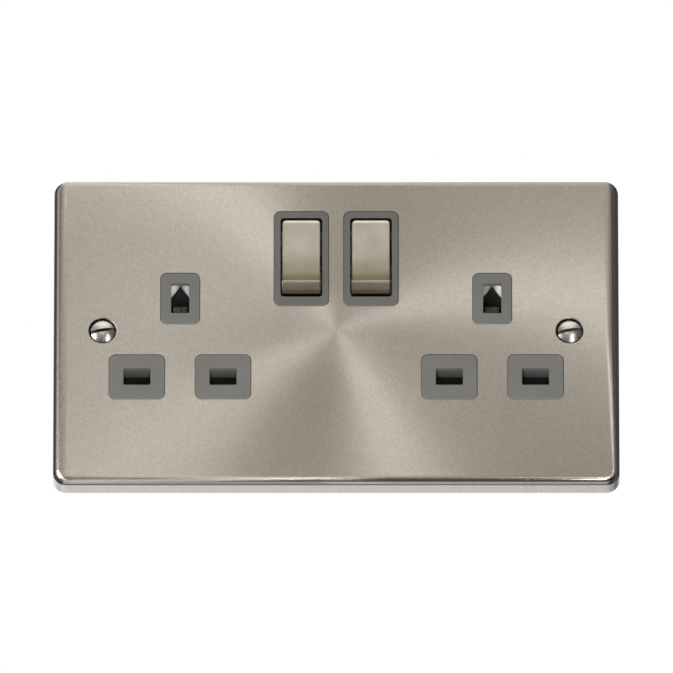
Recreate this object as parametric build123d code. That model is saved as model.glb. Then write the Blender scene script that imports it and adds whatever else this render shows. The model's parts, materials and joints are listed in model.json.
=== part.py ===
from build123d import *
import os
from math import cos, radians, sin, sqrt

# Double switched wall socket: a pressed metal plate on a two-part moulded body.
# Millimetres. X runs right as seen from the front, Y runs into the wall, Z is up.
# The origin is the centre of the plate's rim, in the plane of the wall.

# Front plate
PLATE_WIDTH = 146.0
PLATE_HEIGHT = 86.0
PLATE_DEPTH = 6.5
PLATE_SHEET = 1.2
PLATE_CORNER_RADIUS = 3.5
PLATE_EDGE_RADIUS = 1.8
CUTOUT_GAP = 0.08

# Layout seen from the front
FIXING_PITCH = 120.6
FIXING_OUTSET = 2.8
LINE_PIN_Z = -13.1
LINE_PIN_SPACING = 22.23
EARTH_PIN_RISE = 22.23
SWITCH_PITCH = 18.0
SWITCH_BELOW_TOP = 13.7

# Plug pins that the contacts grip, with lengths measured from the face
LINE_PIN_THICKNESS = 4.0
LINE_PIN_LENGTH = 17.7
EARTH_PIN_WIDTH = 4.0
EARTH_PIN_HEIGHT = 8.0
EARTH_PIN_LENGTH = 22.73

# Islands and apertures of the front moulding
ISLAND_PROUD = 0.2
ISLAND_CORNER_RADIUS = 1.7
ISLAND_EDGE_RADIUS = 0.3
LINE_ISLAND_WIDTH = 14.45
LINE_ISLAND_HEIGHT = 12.65
EARTH_ISLAND_WIDTH = 10.2
EARTH_ISLAND_HEIGHT = 14.5
LINE_APERTURE_WIDTH = 7.0
LINE_APERTURE_HEIGHT = 4.7
EARTH_APERTURE_WIDTH = 4.7
EARTH_APERTURE_HEIGHT = 8.5
APERTURE_CORNER_RADIUS = 0.4
CHIMNEY_WALL = 1.2
CHIMNEY_LENGTH = 2.4
EARTH_FACE_THICKNESS = 1.5
EARTH_POCKET_MARGIN = 2.0

# Switch bezels
BEZEL_WIDTH = 14.2
BEZEL_HEIGHT = 26.95
BEZEL_DROP = 0.3
BEZEL_CORNER_RADIUS = 1.8
ROCKER_OPENING_WIDTH = 10.8
ROCKER_OPENING_HEIGHT = 22.4
ROCKER_OPENING_CORNER_RADIUS = 0.9
COLLAR_WALL = 1.7
COLLAR_BEHIND_PIVOT = 5.1

# Body
MODULE_HEIGHT = 69.0
MODULE_CORNER_RADIUS = 3.0
MODULE_WALL = 1.6
DECK_THICKNESS = 2.0
BACK_WALL = 2.0
RIB = 1.2
FIXING_NOTCH_GAP = 0.3
DECK_FLANGE = 3.0

# Rockers, modelled switched off: top pressed in, bottom proud
ROCKER_TRAVEL = 16.0
PIVOT_BEHIND_FACE = 2.0
ROCKER_SIDE_GAP = 0.4
ROCKER_END_GAP = 0.3
CAP_PROUD = 0.05
CAP_THICKNESS = 1.15
CAP_FLAT_BELOW_PIVOT = 1.6
CAP_RIDGE_BELOW_PIVOT = 8.4
CAP_RIDGE_PROUD = 3.7
CAP_EDGE_RADIUS = 0.4
CAP_CORNER_RADIUS = 1.2
CAP_TOP_DROP = 0.05
CAP_PEG_RADIUS = 0.9
CAP_PEG_LENGTH = 1.8
CAP_PEG_OFFSET = 6.4
PEG_CLEARANCE = 0.05
ROCKER_BODY_DEPTH = 3.0
TRUNNION_RADIUS = 1.2
TRUNNION_LENGTH = 1.5
TRUNNION_CLEARANCE = 0.05
TRUNNION_END_GAP = 0.2
POST_RADIUS = 2.6
POST_LENGTH = 6.0
POST_BORE_FLOOR = -0.3
PLUNGER_RADIUS = 1.65
PLUNGER_CLEARANCE = 0.05
PLUNGER_SEAT = 4.0
PLUNGER_TIP_GAP = 0.2
PLUNGER_WIRE = 0.36
PLUNGER_COILS = 4.0

# Shutters
SHUTTER_GAP = 0.3
SHUTTER_THICKNESS = 2.0
SHUTTER_TRAVEL = 5.8
SHUTTER_SPINE_WIDTH = 12.6
SHUTTER_PAD_HEIGHT = 6.2
SHUTTER_PAD_OVERLAP = 0.7
SHUTTER_RAMP_WIDTH = 3.6
SHUTTER_RAMP_PROUD = 2.2
SHUTTER_SPRING_WIRE = 0.42
SHUTTER_SPRING_RADIUS = 1.5
SHUTTER_SPRING_COILS = 7.0
SPRING_SEAT_RISE = 5.5
SPRING_SPIGOT_LENGTH = 2.0
SPRING_SPIGOT_CLEARANCE = 0.25

# Brass strip, contacts and bars
STRIP = 0.8
STRIP_BEND_RADIUS = 0.8
CONTACT_GRIP = 0.2
CONTACT_LIP = 1.3
CONTACT_FLARE = 0.7
CONTACT_MOUTH_GAP = 1.2
LINE_CONTACT_WIDTH = 6.0
LINE_TIP_ROOM = 1.4
EARTH_CONTACT_HEIGHT = 7.0
EARTH_TIP_ROOM = 0.4
EARTH_FRAME_WIDTH = 8.4
EARTH_FRAME_RISE = 4.8
EARTH_NOTCH_HEIGHT = 3.2
EARTH_ROOF_GAP = 0.25
LIVE_LINK_WIDTH = 4.0
LIVE_LINK_GAP = 0.4
LIVE_LINK_NOTCH_GAP = 0.485
NEUTRAL_LINK_WIDTH = 3.0
NEUTRAL_TONGUE_WIDTH = 4.0
NEUTRAL_TONGUE_DEPTH = 1.6
EARTH_LINK_WIDTH = 4.0
EARTH_LINK_DROP = 1.13
EARTH_DROP_WIDTH = 6.0
LIVE_ARM_WIDTH = 3.0
LIVE_ARM_BELOW_SWITCH = 9.8
LIVE_TAB_RISE = 2.6

# See-saw switch contacts
SEESAW_TILT = 8.0
SEESAW_WIDTH = 5.0
SEESAW_UP = 8.5
SEESAW_DOWN = 6.5
SEESAW_CLEARANCE = 0.05
RIDGE_RADIUS = 1.6
GROOVE_DEPTH = 0.3
BUTTON_RADIUS = 1.4
BUTTON_THICKNESS = 0.6
BUTTON_OFFSET = 7.0
BUTTON_GAP = 0.3

# Terminals
TERMINAL_PITCH = 11.0
TERMINAL_WIDTH = 8.0
TERMINAL_DEPTH = 8.0
TERMINAL_HEIGHT = 8.0
TERMINAL_FLOOR_GAP = 0.7
TERMINAL_LAP = 2.2
WIRE_BORE_RADIUS = 2.2
WIRE_BORE_DEPTH = 5.6
CLAMP_SCREW_RADIUS = 2.0
CLAMP_SCREW_CLEARANCE = 0.05
CLAMP_SCREW_RISE = 3.5
CLAMP_WELL_CLEARANCE = 0.5
CLAMP_SCREW_SUNK = 0.6
CLAMP_TIP_GAP = 0.1

# Fasteners
FIXING_SCREW_RADIUS = 1.75
FIXING_NECK_RADIUS = 1.5
FIXING_NECK_LENGTH = 5.0
FIXING_SCREW_LENGTH = 30.0
FIXING_HEAD_RADIUS = 3.1
FIXING_HEAD_DOME = 0.9
FIXING_HEAD_SUNK = 0.45
FIXING_HEAD_CLEARANCE = 0.15
FIXING_SLOT_WIDTH = 0.9
FIXING_SLOT_DEPTH = 1.0
FIXING_SLOT_TURN = 9.0
FIXING_HOLE_RADIUS = 2.0
DIMPLE_DEPTH = 2.6
DIMPLE_SKIRT = 1.1
DIMPLE_EDGE_RADIUS = 0.25
STUD_RADIUS = 1.25
STUD_LENGTH = 4.2
STUD_CLEARANCE = 0.15
STUD_X = 21.0
STUD_TOP_Z = 24.0
STUD_BOTTOM_Z = -22.0
NUT_WIDTH = 4.5
NUT_THICKNESS = 1.6
NUT_THREAD_CLEARANCE = 0.03
ASSEMBLY_SCREW_RADIUS = 1.4
ASSEMBLY_SCREW_LENGTH = 19.0
ASSEMBLY_HEAD_RADIUS = 2.7
ASSEMBLY_HEAD_HEIGHT = 1.2
ASSEMBLY_HEAD_CLEARANCE = 0.25
ASSEMBLY_CLEARANCE = 0.25
ASSEMBLY_PILOT_CLEARANCE = 0.03
BOSS_RADIUS = 3.0
BOSS_INNER_Z = -8.0
BOSS_OUTER_OFFSET = 3.7
SCREW_SLOT_WIDTH = 0.8
SCREW_SLOT_DEPTH = 0.7

# Depths, from the face back to the rear
FACE_Y = -PLATE_DEPTH
ISLAND_FRONT = FACE_Y - ISLAND_PROUD
DECK_FRONT = FACE_Y + PLATE_SHEET
DECK_BACK = DECK_FRONT + DECK_THICKNESS
CHIMNEY_BACK = DECK_BACK + CHIMNEY_LENGTH
SHUTTER_FRONT = CHIMNEY_BACK + SHUTTER_GAP
SHUTTER_BACK = SHUTTER_FRONT + SHUTTER_THICKNESS
PARTING_Y = SHUTTER_BACK + SHUTTER_GAP
CONTACT_MOUTH = PARTING_Y + CONTACT_MOUTH_GAP
LINE_BASE_FRONT = FACE_Y + LINE_PIN_LENGTH + LINE_TIP_ROOM
LINE_BASE_BACK = LINE_BASE_FRONT + STRIP
EARTH_BASE_FRONT = FACE_Y + EARTH_PIN_LENGTH + EARTH_TIP_ROOM
FLOOR_Y = EARTH_BASE_FRONT + STRIP
BACK_Y = FLOOR_Y + BACK_WALL
TERMINAL_FRONT = EARTH_BASE_FRONT - TERMINAL_DEPTH
WIRE_Y = EARTH_BASE_FRONT - TERMINAL_DEPTH / 2
LIVE_BAR_FRONT = TERMINAL_FRONT - STRIP
PIVOT_Y = FACE_Y + PIVOT_BEHIND_FACE
COLLAR_BACK = PIVOT_Y + COLLAR_BEHIND_PIVOT

# Heights and places across the face
MODULE_WIDTH = FIXING_PITCH - 2 * FIXING_OUTSET
DIMPLE_FOOT = FIXING_HOLE_RADIUS + DIMPLE_SKIRT
DIMPLE_OUTER = DIMPLE_FOOT + DIMPLE_DEPTH - PLATE_SHEET
FIXING_NOTCH_RADIUS = DIMPLE_OUTER + FIXING_NOTCH_GAP
NOTCH_INNER_X = FIXING_PITCH / 2 - FIXING_NOTCH_RADIUS - MODULE_WALL
LIVE_OFFSET = LINE_PIN_SPACING / 2
SOCKET_PITCH = 2 * (NOTCH_INNER_X - LIVE_LINK_NOTCH_GAP - LIVE_LINK_WIDTH / 2 - LIVE_OFFSET)
SWITCH_Z = MODULE_HEIGHT / 2 - SWITCH_BELOW_TOP
EARTH_PIN_Z = LINE_PIN_Z + EARTH_PIN_RISE
BEZEL_Z = SWITCH_Z - BEZEL_DROP
SOCKET_XS = {"left": -SOCKET_PITCH / 2, "right": SOCKET_PITCH / 2}
SWITCH_XS = {"left": -SWITCH_PITCH / 2, "right": SWITCH_PITCH / 2}
FIXING_XS = (-FIXING_PITCH / 2, FIXING_PITCH / 2)
TERMINAL_BOTTOM = -MODULE_HEIGHT / 2 + MODULE_WALL + TERMINAL_FLOOR_GAP
TERMINAL_TOP = TERMINAL_BOTTOM + TERMINAL_HEIGHT
TERMINAL_XS = {
    "neutral": -1.5 * TERMINAL_PITCH,
    "live": -0.5 * TERMINAL_PITCH,
    "earth_inner": 0.5 * TERMINAL_PITCH,
    "earth_outer": 1.5 * TERMINAL_PITCH,
}
LINE_CONTACT_FOOT = LINE_PIN_Z - (LINE_PIN_THICKNESS - CONTACT_GRIP) / 2 - STRIP
NEUTRAL_LINK_Z = (TERMINAL_TOP + LINE_CONTACT_FOOT) / 2
LIVE_LINK_TOP = MODULE_HEIGHT / 2 - MODULE_WALL - LIVE_LINK_GAP - LIVE_LINK_WIDTH / 2
LIVE_LINK_FOOT = LIVE_LINK_TOP - LIVE_LINK_WIDTH / 2 - STRIP / 2
LIVE_ARM_Z = SWITCH_Z - LIVE_ARM_BELOW_SWITCH
EARTH_LINK_Z = EARTH_PIN_Z - EARTH_LINK_DROP
EARTH_ROOF = EARTH_PIN_Z + EARTH_PIN_HEIGHT / 2 + EARTH_ROOF_GAP
EARTH_DROP_X = (TERMINAL_XS["earth_inner"] + TERMINAL_XS["earth_outer"]) / 2
SPRING_SEAT_Z = -MODULE_HEIGHT / 2 + SPRING_SEAT_RISE
STUD_PLACES = [(x, z) for x in (-STUD_X, STUD_X) for z in (STUD_TOP_Z, STUD_BOTTOM_Z)]

# The inner bosses stand midway between the earth drop and the nearest line contact,
# the outer ones midway between the earth frame and the live link.
LINE_CONTACT_SIDE = SOCKET_PITCH / 2 - LIVE_OFFSET - LINE_CONTACT_WIDTH / 2
BOSS_INNER_X = (LINE_CONTACT_SIDE + EARTH_DROP_X + EARTH_DROP_WIDTH / 2) / 2
BOSS_OUTER_X = SOCKET_PITCH / 2 + BOSS_OUTER_OFFSET
BOSS_OUTER_Z = (EARTH_ROOF + EARTH_FRAME_RISE + LIVE_LINK_FOOT) / 2
BOSS_PLACES = [(-BOSS_INNER_X, BOSS_INNER_Z), (BOSS_INNER_X, BOSS_INNER_Z)]
BOSS_PLACES += [(-BOSS_OUTER_X, BOSS_OUTER_Z), (BOSS_OUTER_X, BOSS_OUTER_Z)]
LINE_PLACES = [(x + side, LINE_PIN_Z) for x in SOCKET_XS.values() for side in (-LIVE_OFFSET, LIVE_OFFSET)]
EARTH_PLACES = [(x, EARTH_PIN_Z) for x in SOCKET_XS.values()]

# Sizes that follow from the ones above
ROCKER_WIDTH = ROCKER_OPENING_WIDTH - 2 * ROCKER_SIDE_GAP
ROCKER_END_RADIUS = ROCKER_OPENING_HEIGHT / 2 - ROCKER_END_GAP
CAP_FRONT = ISLAND_FRONT - CAP_PROUD
CAP_BACK = CAP_FRONT + CAP_THICKNESS
ROCKER_BACK = CAP_BACK + ROCKER_BODY_DEPTH
RIDGE_Y = LIVE_BAR_FRONT
SEESAW_BACK = RIDGE_Y - RIDGE_RADIUS + GROOVE_DEPTH
SEESAW_FRONT = SEESAW_BACK - STRIP
PLUNGER_TIP = SEESAW_FRONT - PIVOT_Y - PLUNGER_TIP_GAP
OVERSIZE = 5.0


def front_plane(y):
    """Plane across the socket at depth y, with X right and Z up, facing the front."""
    return Plane(origin=(0, y, 0), x_dir=(1, 0, 0), z_dir=(0, -1, 0))


def slab(sketch, y_front, y_back):
    """A sketch drawn as seen from the front, given depth from y_front to y_back."""
    return extrude(front_plane(y_back) * sketch, amount=y_back - y_front)


def side_slab(sketch, x, width):
    """A side section (Y across, Z up) given a width centred on x."""
    side = Plane(origin=(x, 0, 0), x_dir=(0, 1, 0), z_dir=(1, 0, 0))
    return extrude(side * sketch, amount=width / 2, both=True)


def rounded(x, z, width, height, radius):
    return Pos(x, z) * RectangleRounded(width, height, radius)


def plain(x, z, width, height):
    return Pos(x, z) * Rectangle(width, height)


def rod_y(radius, x, z, y_front, y_back):
    return slab(Pos(x, z) * Circle(radius), y_front, y_back)


def rod_x(radius, x, y, z, length):
    return side_slab(Pos(y, z) * Circle(radius), x, length)


def rod_z(radius, x, y, z_bottom, z_top):
    return extrude(Pos(x, y, z_bottom) * Circle(radius), amount=z_top - z_bottom)


def turned(points, x, z):
    """A body of revolution about an axis along Y, from (radius, y) points."""
    profile = make_face(Polyline(*[(r, y, 0) for r, y in points], close=True))
    return Pos(x, 0, z) * revolve(profile, axis=Axis.Y)


def strip(points, width, y_front):
    """Flat stamped strip whose middle follows (x, z) points."""
    bend = STRIP_BEND_RADIUS + width / 2
    path = FilletPolyline(*points, radius=bend) if len(points) > 2 else Line(*points)
    return slab(trace(path, line_width=width), y_front, y_front + STRIP)


def coil(radius, wire, length, turns):
    """Compression spring standing on the XY plane, its length measured over the wire."""
    rise = length - wire
    path = Pos(0, 0, wire / 2) * Helix(pitch=rise / turns, height=rise, radius=radius)
    section = Plane(origin=path @ 0, z_dir=path % 0) * RegularPolygon(wire / 2, 6)
    return sweep(section, path=path, is_frenet=True)


def module_outline(inset, flange=0.0):
    """Body outline, drawn in by inset or out by flange, notched round the fixing screws."""
    grow = 2 * flange - 2 * inset
    outline = RectangleRounded(MODULE_WIDTH + grow, MODULE_HEIGHT + grow, MODULE_CORNER_RADIUS - inset / 2)
    for x in FIXING_XS:
        outline -= Pos(x, 0) * Circle(FIXING_NOTCH_RADIUS + inset)
    return outline


def island_outlines(grow):
    """Outlines of the six islands and two bezels, grown by a clearance."""
    radius = ISLAND_CORNER_RADIUS + grow
    outlines = []
    for x, z in LINE_PLACES:
        outlines.append(rounded(x, z, LINE_ISLAND_WIDTH + 2 * grow, LINE_ISLAND_HEIGHT + 2 * grow, radius))
    for x, z in EARTH_PLACES:
        outlines.append(rounded(x, z, EARTH_ISLAND_WIDTH + 2 * grow, EARTH_ISLAND_HEIGHT + 2 * grow, radius))
    for x in SWITCH_XS.values():
        width, height = BEZEL_WIDTH + 2 * grow, BEZEL_HEIGHT + 2 * grow
        outlines.append(rounded(x, BEZEL_Z, width, height, BEZEL_CORNER_RADIUS + grow))
    return outlines


def make_front_plate():
    outline = RectangleRounded(PLATE_WIDTH, PLATE_HEIGHT, PLATE_CORNER_RADIUS)
    plate = slab(outline, FACE_Y, 0)
    plate = fillet(plate.faces().sort_by(Axis.Y)[0].edges(), PLATE_EDGE_RADIUS)
    inner = RectangleRounded(
        PLATE_WIDTH - 2 * PLATE_SHEET, PLATE_HEIGHT - 2 * PLATE_SHEET, PLATE_CORNER_RADIUS - PLATE_SHEET
    )
    hollow = slab(inner, DECK_FRONT, 0)
    hollow = fillet(hollow.faces().sort_by(Axis.Y)[0].edges(), PLATE_EDGE_RADIUS - PLATE_SHEET)
    plate -= hollow
    for outline in island_outlines(CUTOUT_GAP):
        plate -= slab(outline, FACE_Y - OVERSIZE, DECK_FRONT + OVERSIZE)
    mouth = FIXING_HEAD_RADIUS + FIXING_HEAD_CLEARANCE + FIXING_HEAD_SUNK
    sink = mouth - FIXING_HOLE_RADIUS
    for x in FIXING_XS:
        back = FACE_Y + DIMPLE_DEPTH
        dish = [(0, DECK_FRONT), (DIMPLE_OUTER, DECK_FRONT), (DIMPLE_FOOT, back), (0, back)]
        plate += turned(dish, x, 0)
        cone = [(0, FACE_Y - OVERSIZE), (mouth, FACE_Y - OVERSIZE), (mouth, FACE_Y)]
        cone += [(FIXING_HOLE_RADIUS, FACE_Y + sink), (FIXING_HOLE_RADIUS, OVERSIZE), (0, OVERSIZE)]
        plate -= turned(cone, x, 0)
    rims = [e for e in plate.edges().filter_by(GeomType.CIRCLE) if abs(e.radius - mouth) < 0.01]
    plate = fillet(rims, DIMPLE_EDGE_RADIUS)
    for x, z in STUD_PLACES:
        plate += rod_y(STUD_RADIUS, x, z, DECK_FRONT, DECK_FRONT + STUD_LENGTH)
    return plate


def trunnion_slot(x):
    """Groove in a collar's side walls, open to the back, round at the rocker's axis."""
    radius = TRUNNION_RADIUS + TRUNNION_CLEARANCE
    width = ROCKER_WIDTH + 2 * TRUNNION_LENGTH + 2 * TRUNNION_END_GAP
    groove = rod_x(radius, x, PIVOT_Y, SWITCH_Z, width)
    run = COLLAR_BACK + OVERSIZE - PIVOT_Y
    return groove + side_slab(Pos(PIVOT_Y + run / 2, SWITCH_Z) * Rectangle(run, 2 * radius), x, width)


def make_front_moulding():
    moulding = slab(module_outline(0), DECK_FRONT, PARTING_Y)
    moulding -= slab(module_outline(MODULE_WALL), DECK_BACK, PARTING_Y)
    moulding += slab(module_outline(0, DECK_FLANGE), DECK_FRONT, DECK_BACK)
    for outline in island_outlines(0):
        island = slab(outline, ISLAND_FRONT, DECK_BACK)
        moulding += fillet(island.faces().sort_by(Axis.Y)[0].edges(), ISLAND_EDGE_RADIUS)
    for x, z in LINE_PLACES:
        width = LINE_APERTURE_WIDTH + 2 * CHIMNEY_WALL
        height = LINE_APERTURE_HEIGHT + 2 * CHIMNEY_WALL
        moulding += slab(rounded(x, z, width, height, CHIMNEY_WALL), DECK_BACK, CHIMNEY_BACK)
        aperture = rounded(x, z, LINE_APERTURE_WIDTH, LINE_APERTURE_HEIGHT, APERTURE_CORNER_RADIUS)
        moulding -= slab(aperture, ISLAND_FRONT - OVERSIZE, CHIMNEY_BACK + OVERSIZE)
    for x, z in EARTH_PLACES:
        width = EARTH_APERTURE_WIDTH + 2 * EARTH_POCKET_MARGIN
        height = EARTH_APERTURE_HEIGHT + 2 * EARTH_POCKET_MARGIN
        pocket = rounded(x, z, width, height, APERTURE_CORNER_RADIUS)
        moulding -= slab(pocket, ISLAND_FRONT + EARTH_FACE_THICKNESS, DECK_BACK)
        aperture = rounded(x, z, EARTH_APERTURE_WIDTH, EARTH_APERTURE_HEIGHT, APERTURE_CORNER_RADIUS)
        moulding -= slab(aperture, ISLAND_FRONT - OVERSIZE, DECK_BACK)
        moulding += spring_seat(x)
    for x in SWITCH_XS.values():
        width = ROCKER_OPENING_WIDTH + 2 * COLLAR_WALL
        height = ROCKER_OPENING_HEIGHT + 2 * COLLAR_WALL
        collar = rounded(x, SWITCH_Z, width, height, ROCKER_OPENING_CORNER_RADIUS)
        moulding += slab(collar, DECK_BACK, COLLAR_BACK)
        opening = rounded(
            x, SWITCH_Z, ROCKER_OPENING_WIDTH, ROCKER_OPENING_HEIGHT, ROCKER_OPENING_CORNER_RADIUS
        )
        moulding -= slab(opening, ISLAND_FRONT - OVERSIZE, COLLAR_BACK + OVERSIZE)
        moulding -= trunnion_slot(x)
    for x, z in BOSS_PLACES:
        moulding += rod_y(BOSS_RADIUS, x, z, DECK_BACK, PARTING_Y)
        pilot = ASSEMBLY_SCREW_RADIUS + ASSEMBLY_PILOT_CLEARANCE
        moulding -= rod_y(pilot, x, z, DECK_BACK, PARTING_Y)
    for x, z in STUD_PLACES:
        moulding -= rod_y(STUD_RADIUS + STUD_CLEARANCE, x, z, DECK_FRONT, DECK_BACK)
    return moulding


def shutter_spring_y():
    return (SHUTTER_FRONT + SHUTTER_BACK) / 2 - (SHUTTER_SPRING_RADIUS - SHUTTER_THICKNESS / 2)


def spring_seat(x):
    """Wall across the deck with a spigot that a shutter spring stands on."""
    y = shutter_spring_y()
    spigot = SHUTTER_SPRING_RADIUS - SHUTTER_SPRING_WIRE / 2 - SPRING_SPIGOT_CLEARANCE
    wall_width = 4 * SHUTTER_SPRING_RADIUS
    wall = slab(plain(x, SPRING_SEAT_Z - RIB / 2, wall_width, RIB), DECK_BACK, PARTING_Y)
    return wall + rod_z(spigot, x, y, SPRING_SEAT_Z, SPRING_SEAT_Z + SPRING_SPIGOT_LENGTH)


def make_rear_moulding():
    moulding = slab(module_outline(0), PARTING_Y, BACK_Y)
    moulding = fillet(moulding.faces().sort_by(Axis.Y)[-1].outer_wire().edges(), MODULE_WALL / 2)
    cavity = module_outline(MODULE_WALL)
    moulding -= slab(cavity, PARTING_Y, FLOOR_Y)
    for sketch, y_front in pedestals() + barriers():
        moulding += slab(sketch, y_front, FLOOR_Y + BACK_WALL / 2)
    moulding -= wire_bay()
    for x in TERMINAL_XS.values():
        well = CLAMP_SCREW_RADIUS + CLAMP_WELL_CLEARANCE
        moulding -= rod_y(well, x, clamp_screw_z(), EARTH_BASE_FRONT, BACK_Y)
    head = ASSEMBLY_HEAD_RADIUS + ASSEMBLY_HEAD_CLEARANCE
    for x, z in BOSS_PLACES:
        moulding += rod_y(BOSS_RADIUS, x, z, PARTING_Y, FLOOR_Y)
        moulding -= rod_y(ASSEMBLY_SCREW_RADIUS + ASSEMBLY_CLEARANCE, x, z, PARTING_Y, BACK_Y)
        moulding -= rod_y(head, x, z, assembly_seat_y(), BACK_Y)
    return moulding


def wire_bay():
    """Cut below the terminals, open to the bottom and the back, so wires run straight into the bores."""
    half = TERMINAL_XS["earth_outer"] + TERMINAL_PITCH / 2 + RIB / 2
    outside = -MODULE_HEIGHT / 2 - OVERSIZE
    height = TERMINAL_BOTTOM - outside
    return slab(plain(0, outside + height / 2, 2 * half, height), PARTING_Y, BACK_Y)


def pedestals():
    """Supports standing on the floor, as (outline, depth of the supported face)."""
    found = []
    for x, z in LINE_PLACES:
        found.append((plain(x, z, LINE_CONTACT_WIDTH, LINE_PIN_THICKNESS), LINE_BASE_BACK))
    for x in TERMINAL_XS.values():
        height = TERMINAL_HEIGHT - TERMINAL_LAP
        found.append((plain(x, TERMINAL_BOTTOM + height / 2, TERMINAL_WIDTH, height), EARTH_BASE_FRONT))
    for x in SWITCH_XS.values():
        found.append((plain(x, SWITCH_Z, SEESAW_WIDTH, 2 * LIVE_TAB_RISE), TERMINAL_FRONT))
        foot = SWITCH_Z + BUTTON_OFFSET - BUTTON_RADIUS
        height = LIVE_LINK_FOOT - foot
        found.append((plain(x, foot + height / 2, SEESAW_WIDTH, height), fixed_contact_back()))
    for x in (SWITCH_XS["left"] - LIVE_LINK_WIDTH, SOCKET_XS["right"]):
        found.append((plain(x, LIVE_LINK_TOP, RIB, LIVE_LINK_WIDTH / 2), LINE_BASE_BACK))
    for x in (SOCKET_XS["left"], 0.0):
        found.append((plain(x, NEUTRAL_LINK_Z, RIB, NEUTRAL_LINK_WIDTH), LINE_BASE_BACK))
    return found


def barriers():
    """Insulating walls beside the contacts, terminals and switches."""
    found = []
    for x, z in LINE_PLACES:
        offset = LINE_CONTACT_WIDTH / 2 + RIB
        for side in (-offset, offset):
            found.append((plain(x + side, z, RIB, LINE_PIN_THICKNESS + 4 * RIB), PARTING_Y))
    for x in SWITCH_XS.values():
        offset = SEESAW_WIDTH / 2 + RIB
        for side in (-offset, offset):
            foot = SWITCH_Z - SEESAW_DOWN
            height = LIVE_LINK_FOOT - foot
            found.append((plain(x + side, foot + height / 2, RIB, height), SEESAW_FRONT))
    middle = (TERMINAL_BOTTOM + TERMINAL_TOP) / 2
    beside = TERMINAL_PITCH / 2
    walls = [TERMINAL_XS[name] - beside for name in ("neutral", "live", "earth_inner")]
    walls.append(TERMINAL_XS["earth_outer"] + beside)
    for x in walls:
        found.append((plain(x, middle, RIB, TERMINAL_HEIGHT), TERMINAL_FRONT))
    return found


def clamp_screw_z():
    return TERMINAL_BOTTOM + CLAMP_SCREW_RISE


def assembly_seat_y():
    return BACK_Y - ASSEMBLY_HEAD_HEIGHT - ASSEMBLY_HEAD_CLEARANCE


def rocker_section(y_front, y_back):
    """Side section of a rocker between two depths, its ends round about the pivot."""
    depth = y_back - y_front
    band = Pos((y_front + y_back) / 2, SWITCH_Z) * Rectangle(depth, 4 * ROCKER_END_RADIUS)
    return band & (Pos(PIVOT_Y, SWITCH_Z) * Circle(ROCKER_END_RADIUS))


def post_frame(x):
    """Location at the pivot whose Z axis runs along the tilted post, into the body."""
    return Pos(x, PIVOT_Y, SWITCH_Z) * Rot(-ROCKER_TRAVEL / 2, 0, 0) * Rot(-90, 0, 0)


def make_rocker_cap(x):
    """Drawn metal cover: a flat thumb face that sweeps out to a ridge, with a return below it."""
    over = 2 * ROCKER_END_RADIUS
    flat_end = (CAP_FRONT, SWITCH_Z - CAP_FLAT_BELOW_PIVOT)
    ridge = (CAP_FRONT - CAP_RIDGE_PROUD, SWITCH_Z - CAP_RIDGE_BELOW_PIVOT)
    toe = (CAP_FRONT, SWITCH_Z - ROCKER_END_RADIUS)
    top = SWITCH_Z + sqrt(ROCKER_END_RADIUS**2 - (PIVOT_Y - CAP_FRONT) ** 2) - CAP_TOP_DROP
    outline = Polyline((CAP_BACK, toe[1] - over), (CAP_BACK, top), (CAP_FRONT, top), flat_end)
    outline += TangentArc(flat_end, ridge, tangent=(0, -1))
    outline += Polyline(ridge, toe, (CAP_FRONT, toe[1] - over), (CAP_BACK, toe[1] - over))
    section = make_face(outline) & (Pos(PIVOT_Y, SWITCH_Z) * Circle(ROCKER_END_RADIUS))
    crest = section.vertices().sort_by(Axis.X)[0]
    section = fillet([crest], CAP_EDGE_RADIUS)
    cap = side_slab(section, x, ROCKER_WIDTH)
    cap = fillet(cap.faces().sort_by(Axis.Z)[-1].edges().filter_by(Axis.Y), CAP_CORNER_RADIUS)
    rim = [edge for face in cap.faces().filter_by(Axis.X) for edge in face.edges()]
    rim += cap.faces().sort_by(Axis.Z)[-1].edges()
    for edge in cap.edges().filter_by(GeomType.CIRCLE):
        if abs(edge.radius - CAP_CORNER_RADIUS) < CAP_EDGE_RADIUS / 2:
            rim.append(edge)
    rim = [edge for edge in rim if edge.center().Y < CAP_FRONT + CAP_EDGE_RADIUS / 2]
    cap = fillet(rim, CAP_EDGE_RADIUS)
    for side in (-CAP_PEG_OFFSET, CAP_PEG_OFFSET):
        cap += rod_y(CAP_PEG_RADIUS, x, SWITCH_Z + side, CAP_BACK, CAP_BACK + CAP_PEG_LENGTH)
    return cap


def make_rocker(x):
    rocker = side_slab(rocker_section(CAP_BACK, ROCKER_BACK), x, ROCKER_WIDTH)
    for side in (-1, 1):
        stub_x = x + side * (ROCKER_WIDTH + TRUNNION_LENGTH) / 2
        rocker += rod_x(TRUNNION_RADIUS, stub_x, PIVOT_Y, SWITCH_Z, TRUNNION_LENGTH)
    post = post_frame(x) * Pos(0, 0, POST_LENGTH / 2) * Cylinder(POST_RADIUS, POST_LENGTH)
    rocker += post
    bore = POST_LENGTH - POST_BORE_FLOOR + OVERSIZE
    hole = Pos(0, 0, POST_BORE_FLOOR + bore / 2) * Cylinder(PLUNGER_RADIUS + PLUNGER_CLEARANCE, bore)
    rocker -= post_frame(x) * hole
    for side in (-CAP_PEG_OFFSET, CAP_PEG_OFFSET):
        hole_radius = CAP_PEG_RADIUS + PEG_CLEARANCE
        hole_back = CAP_BACK + CAP_PEG_LENGTH + PEG_CLEARANCE
        rocker -= rod_y(hole_radius, x, SWITCH_Z + side, CAP_BACK, hole_back)
    return rocker


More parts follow.
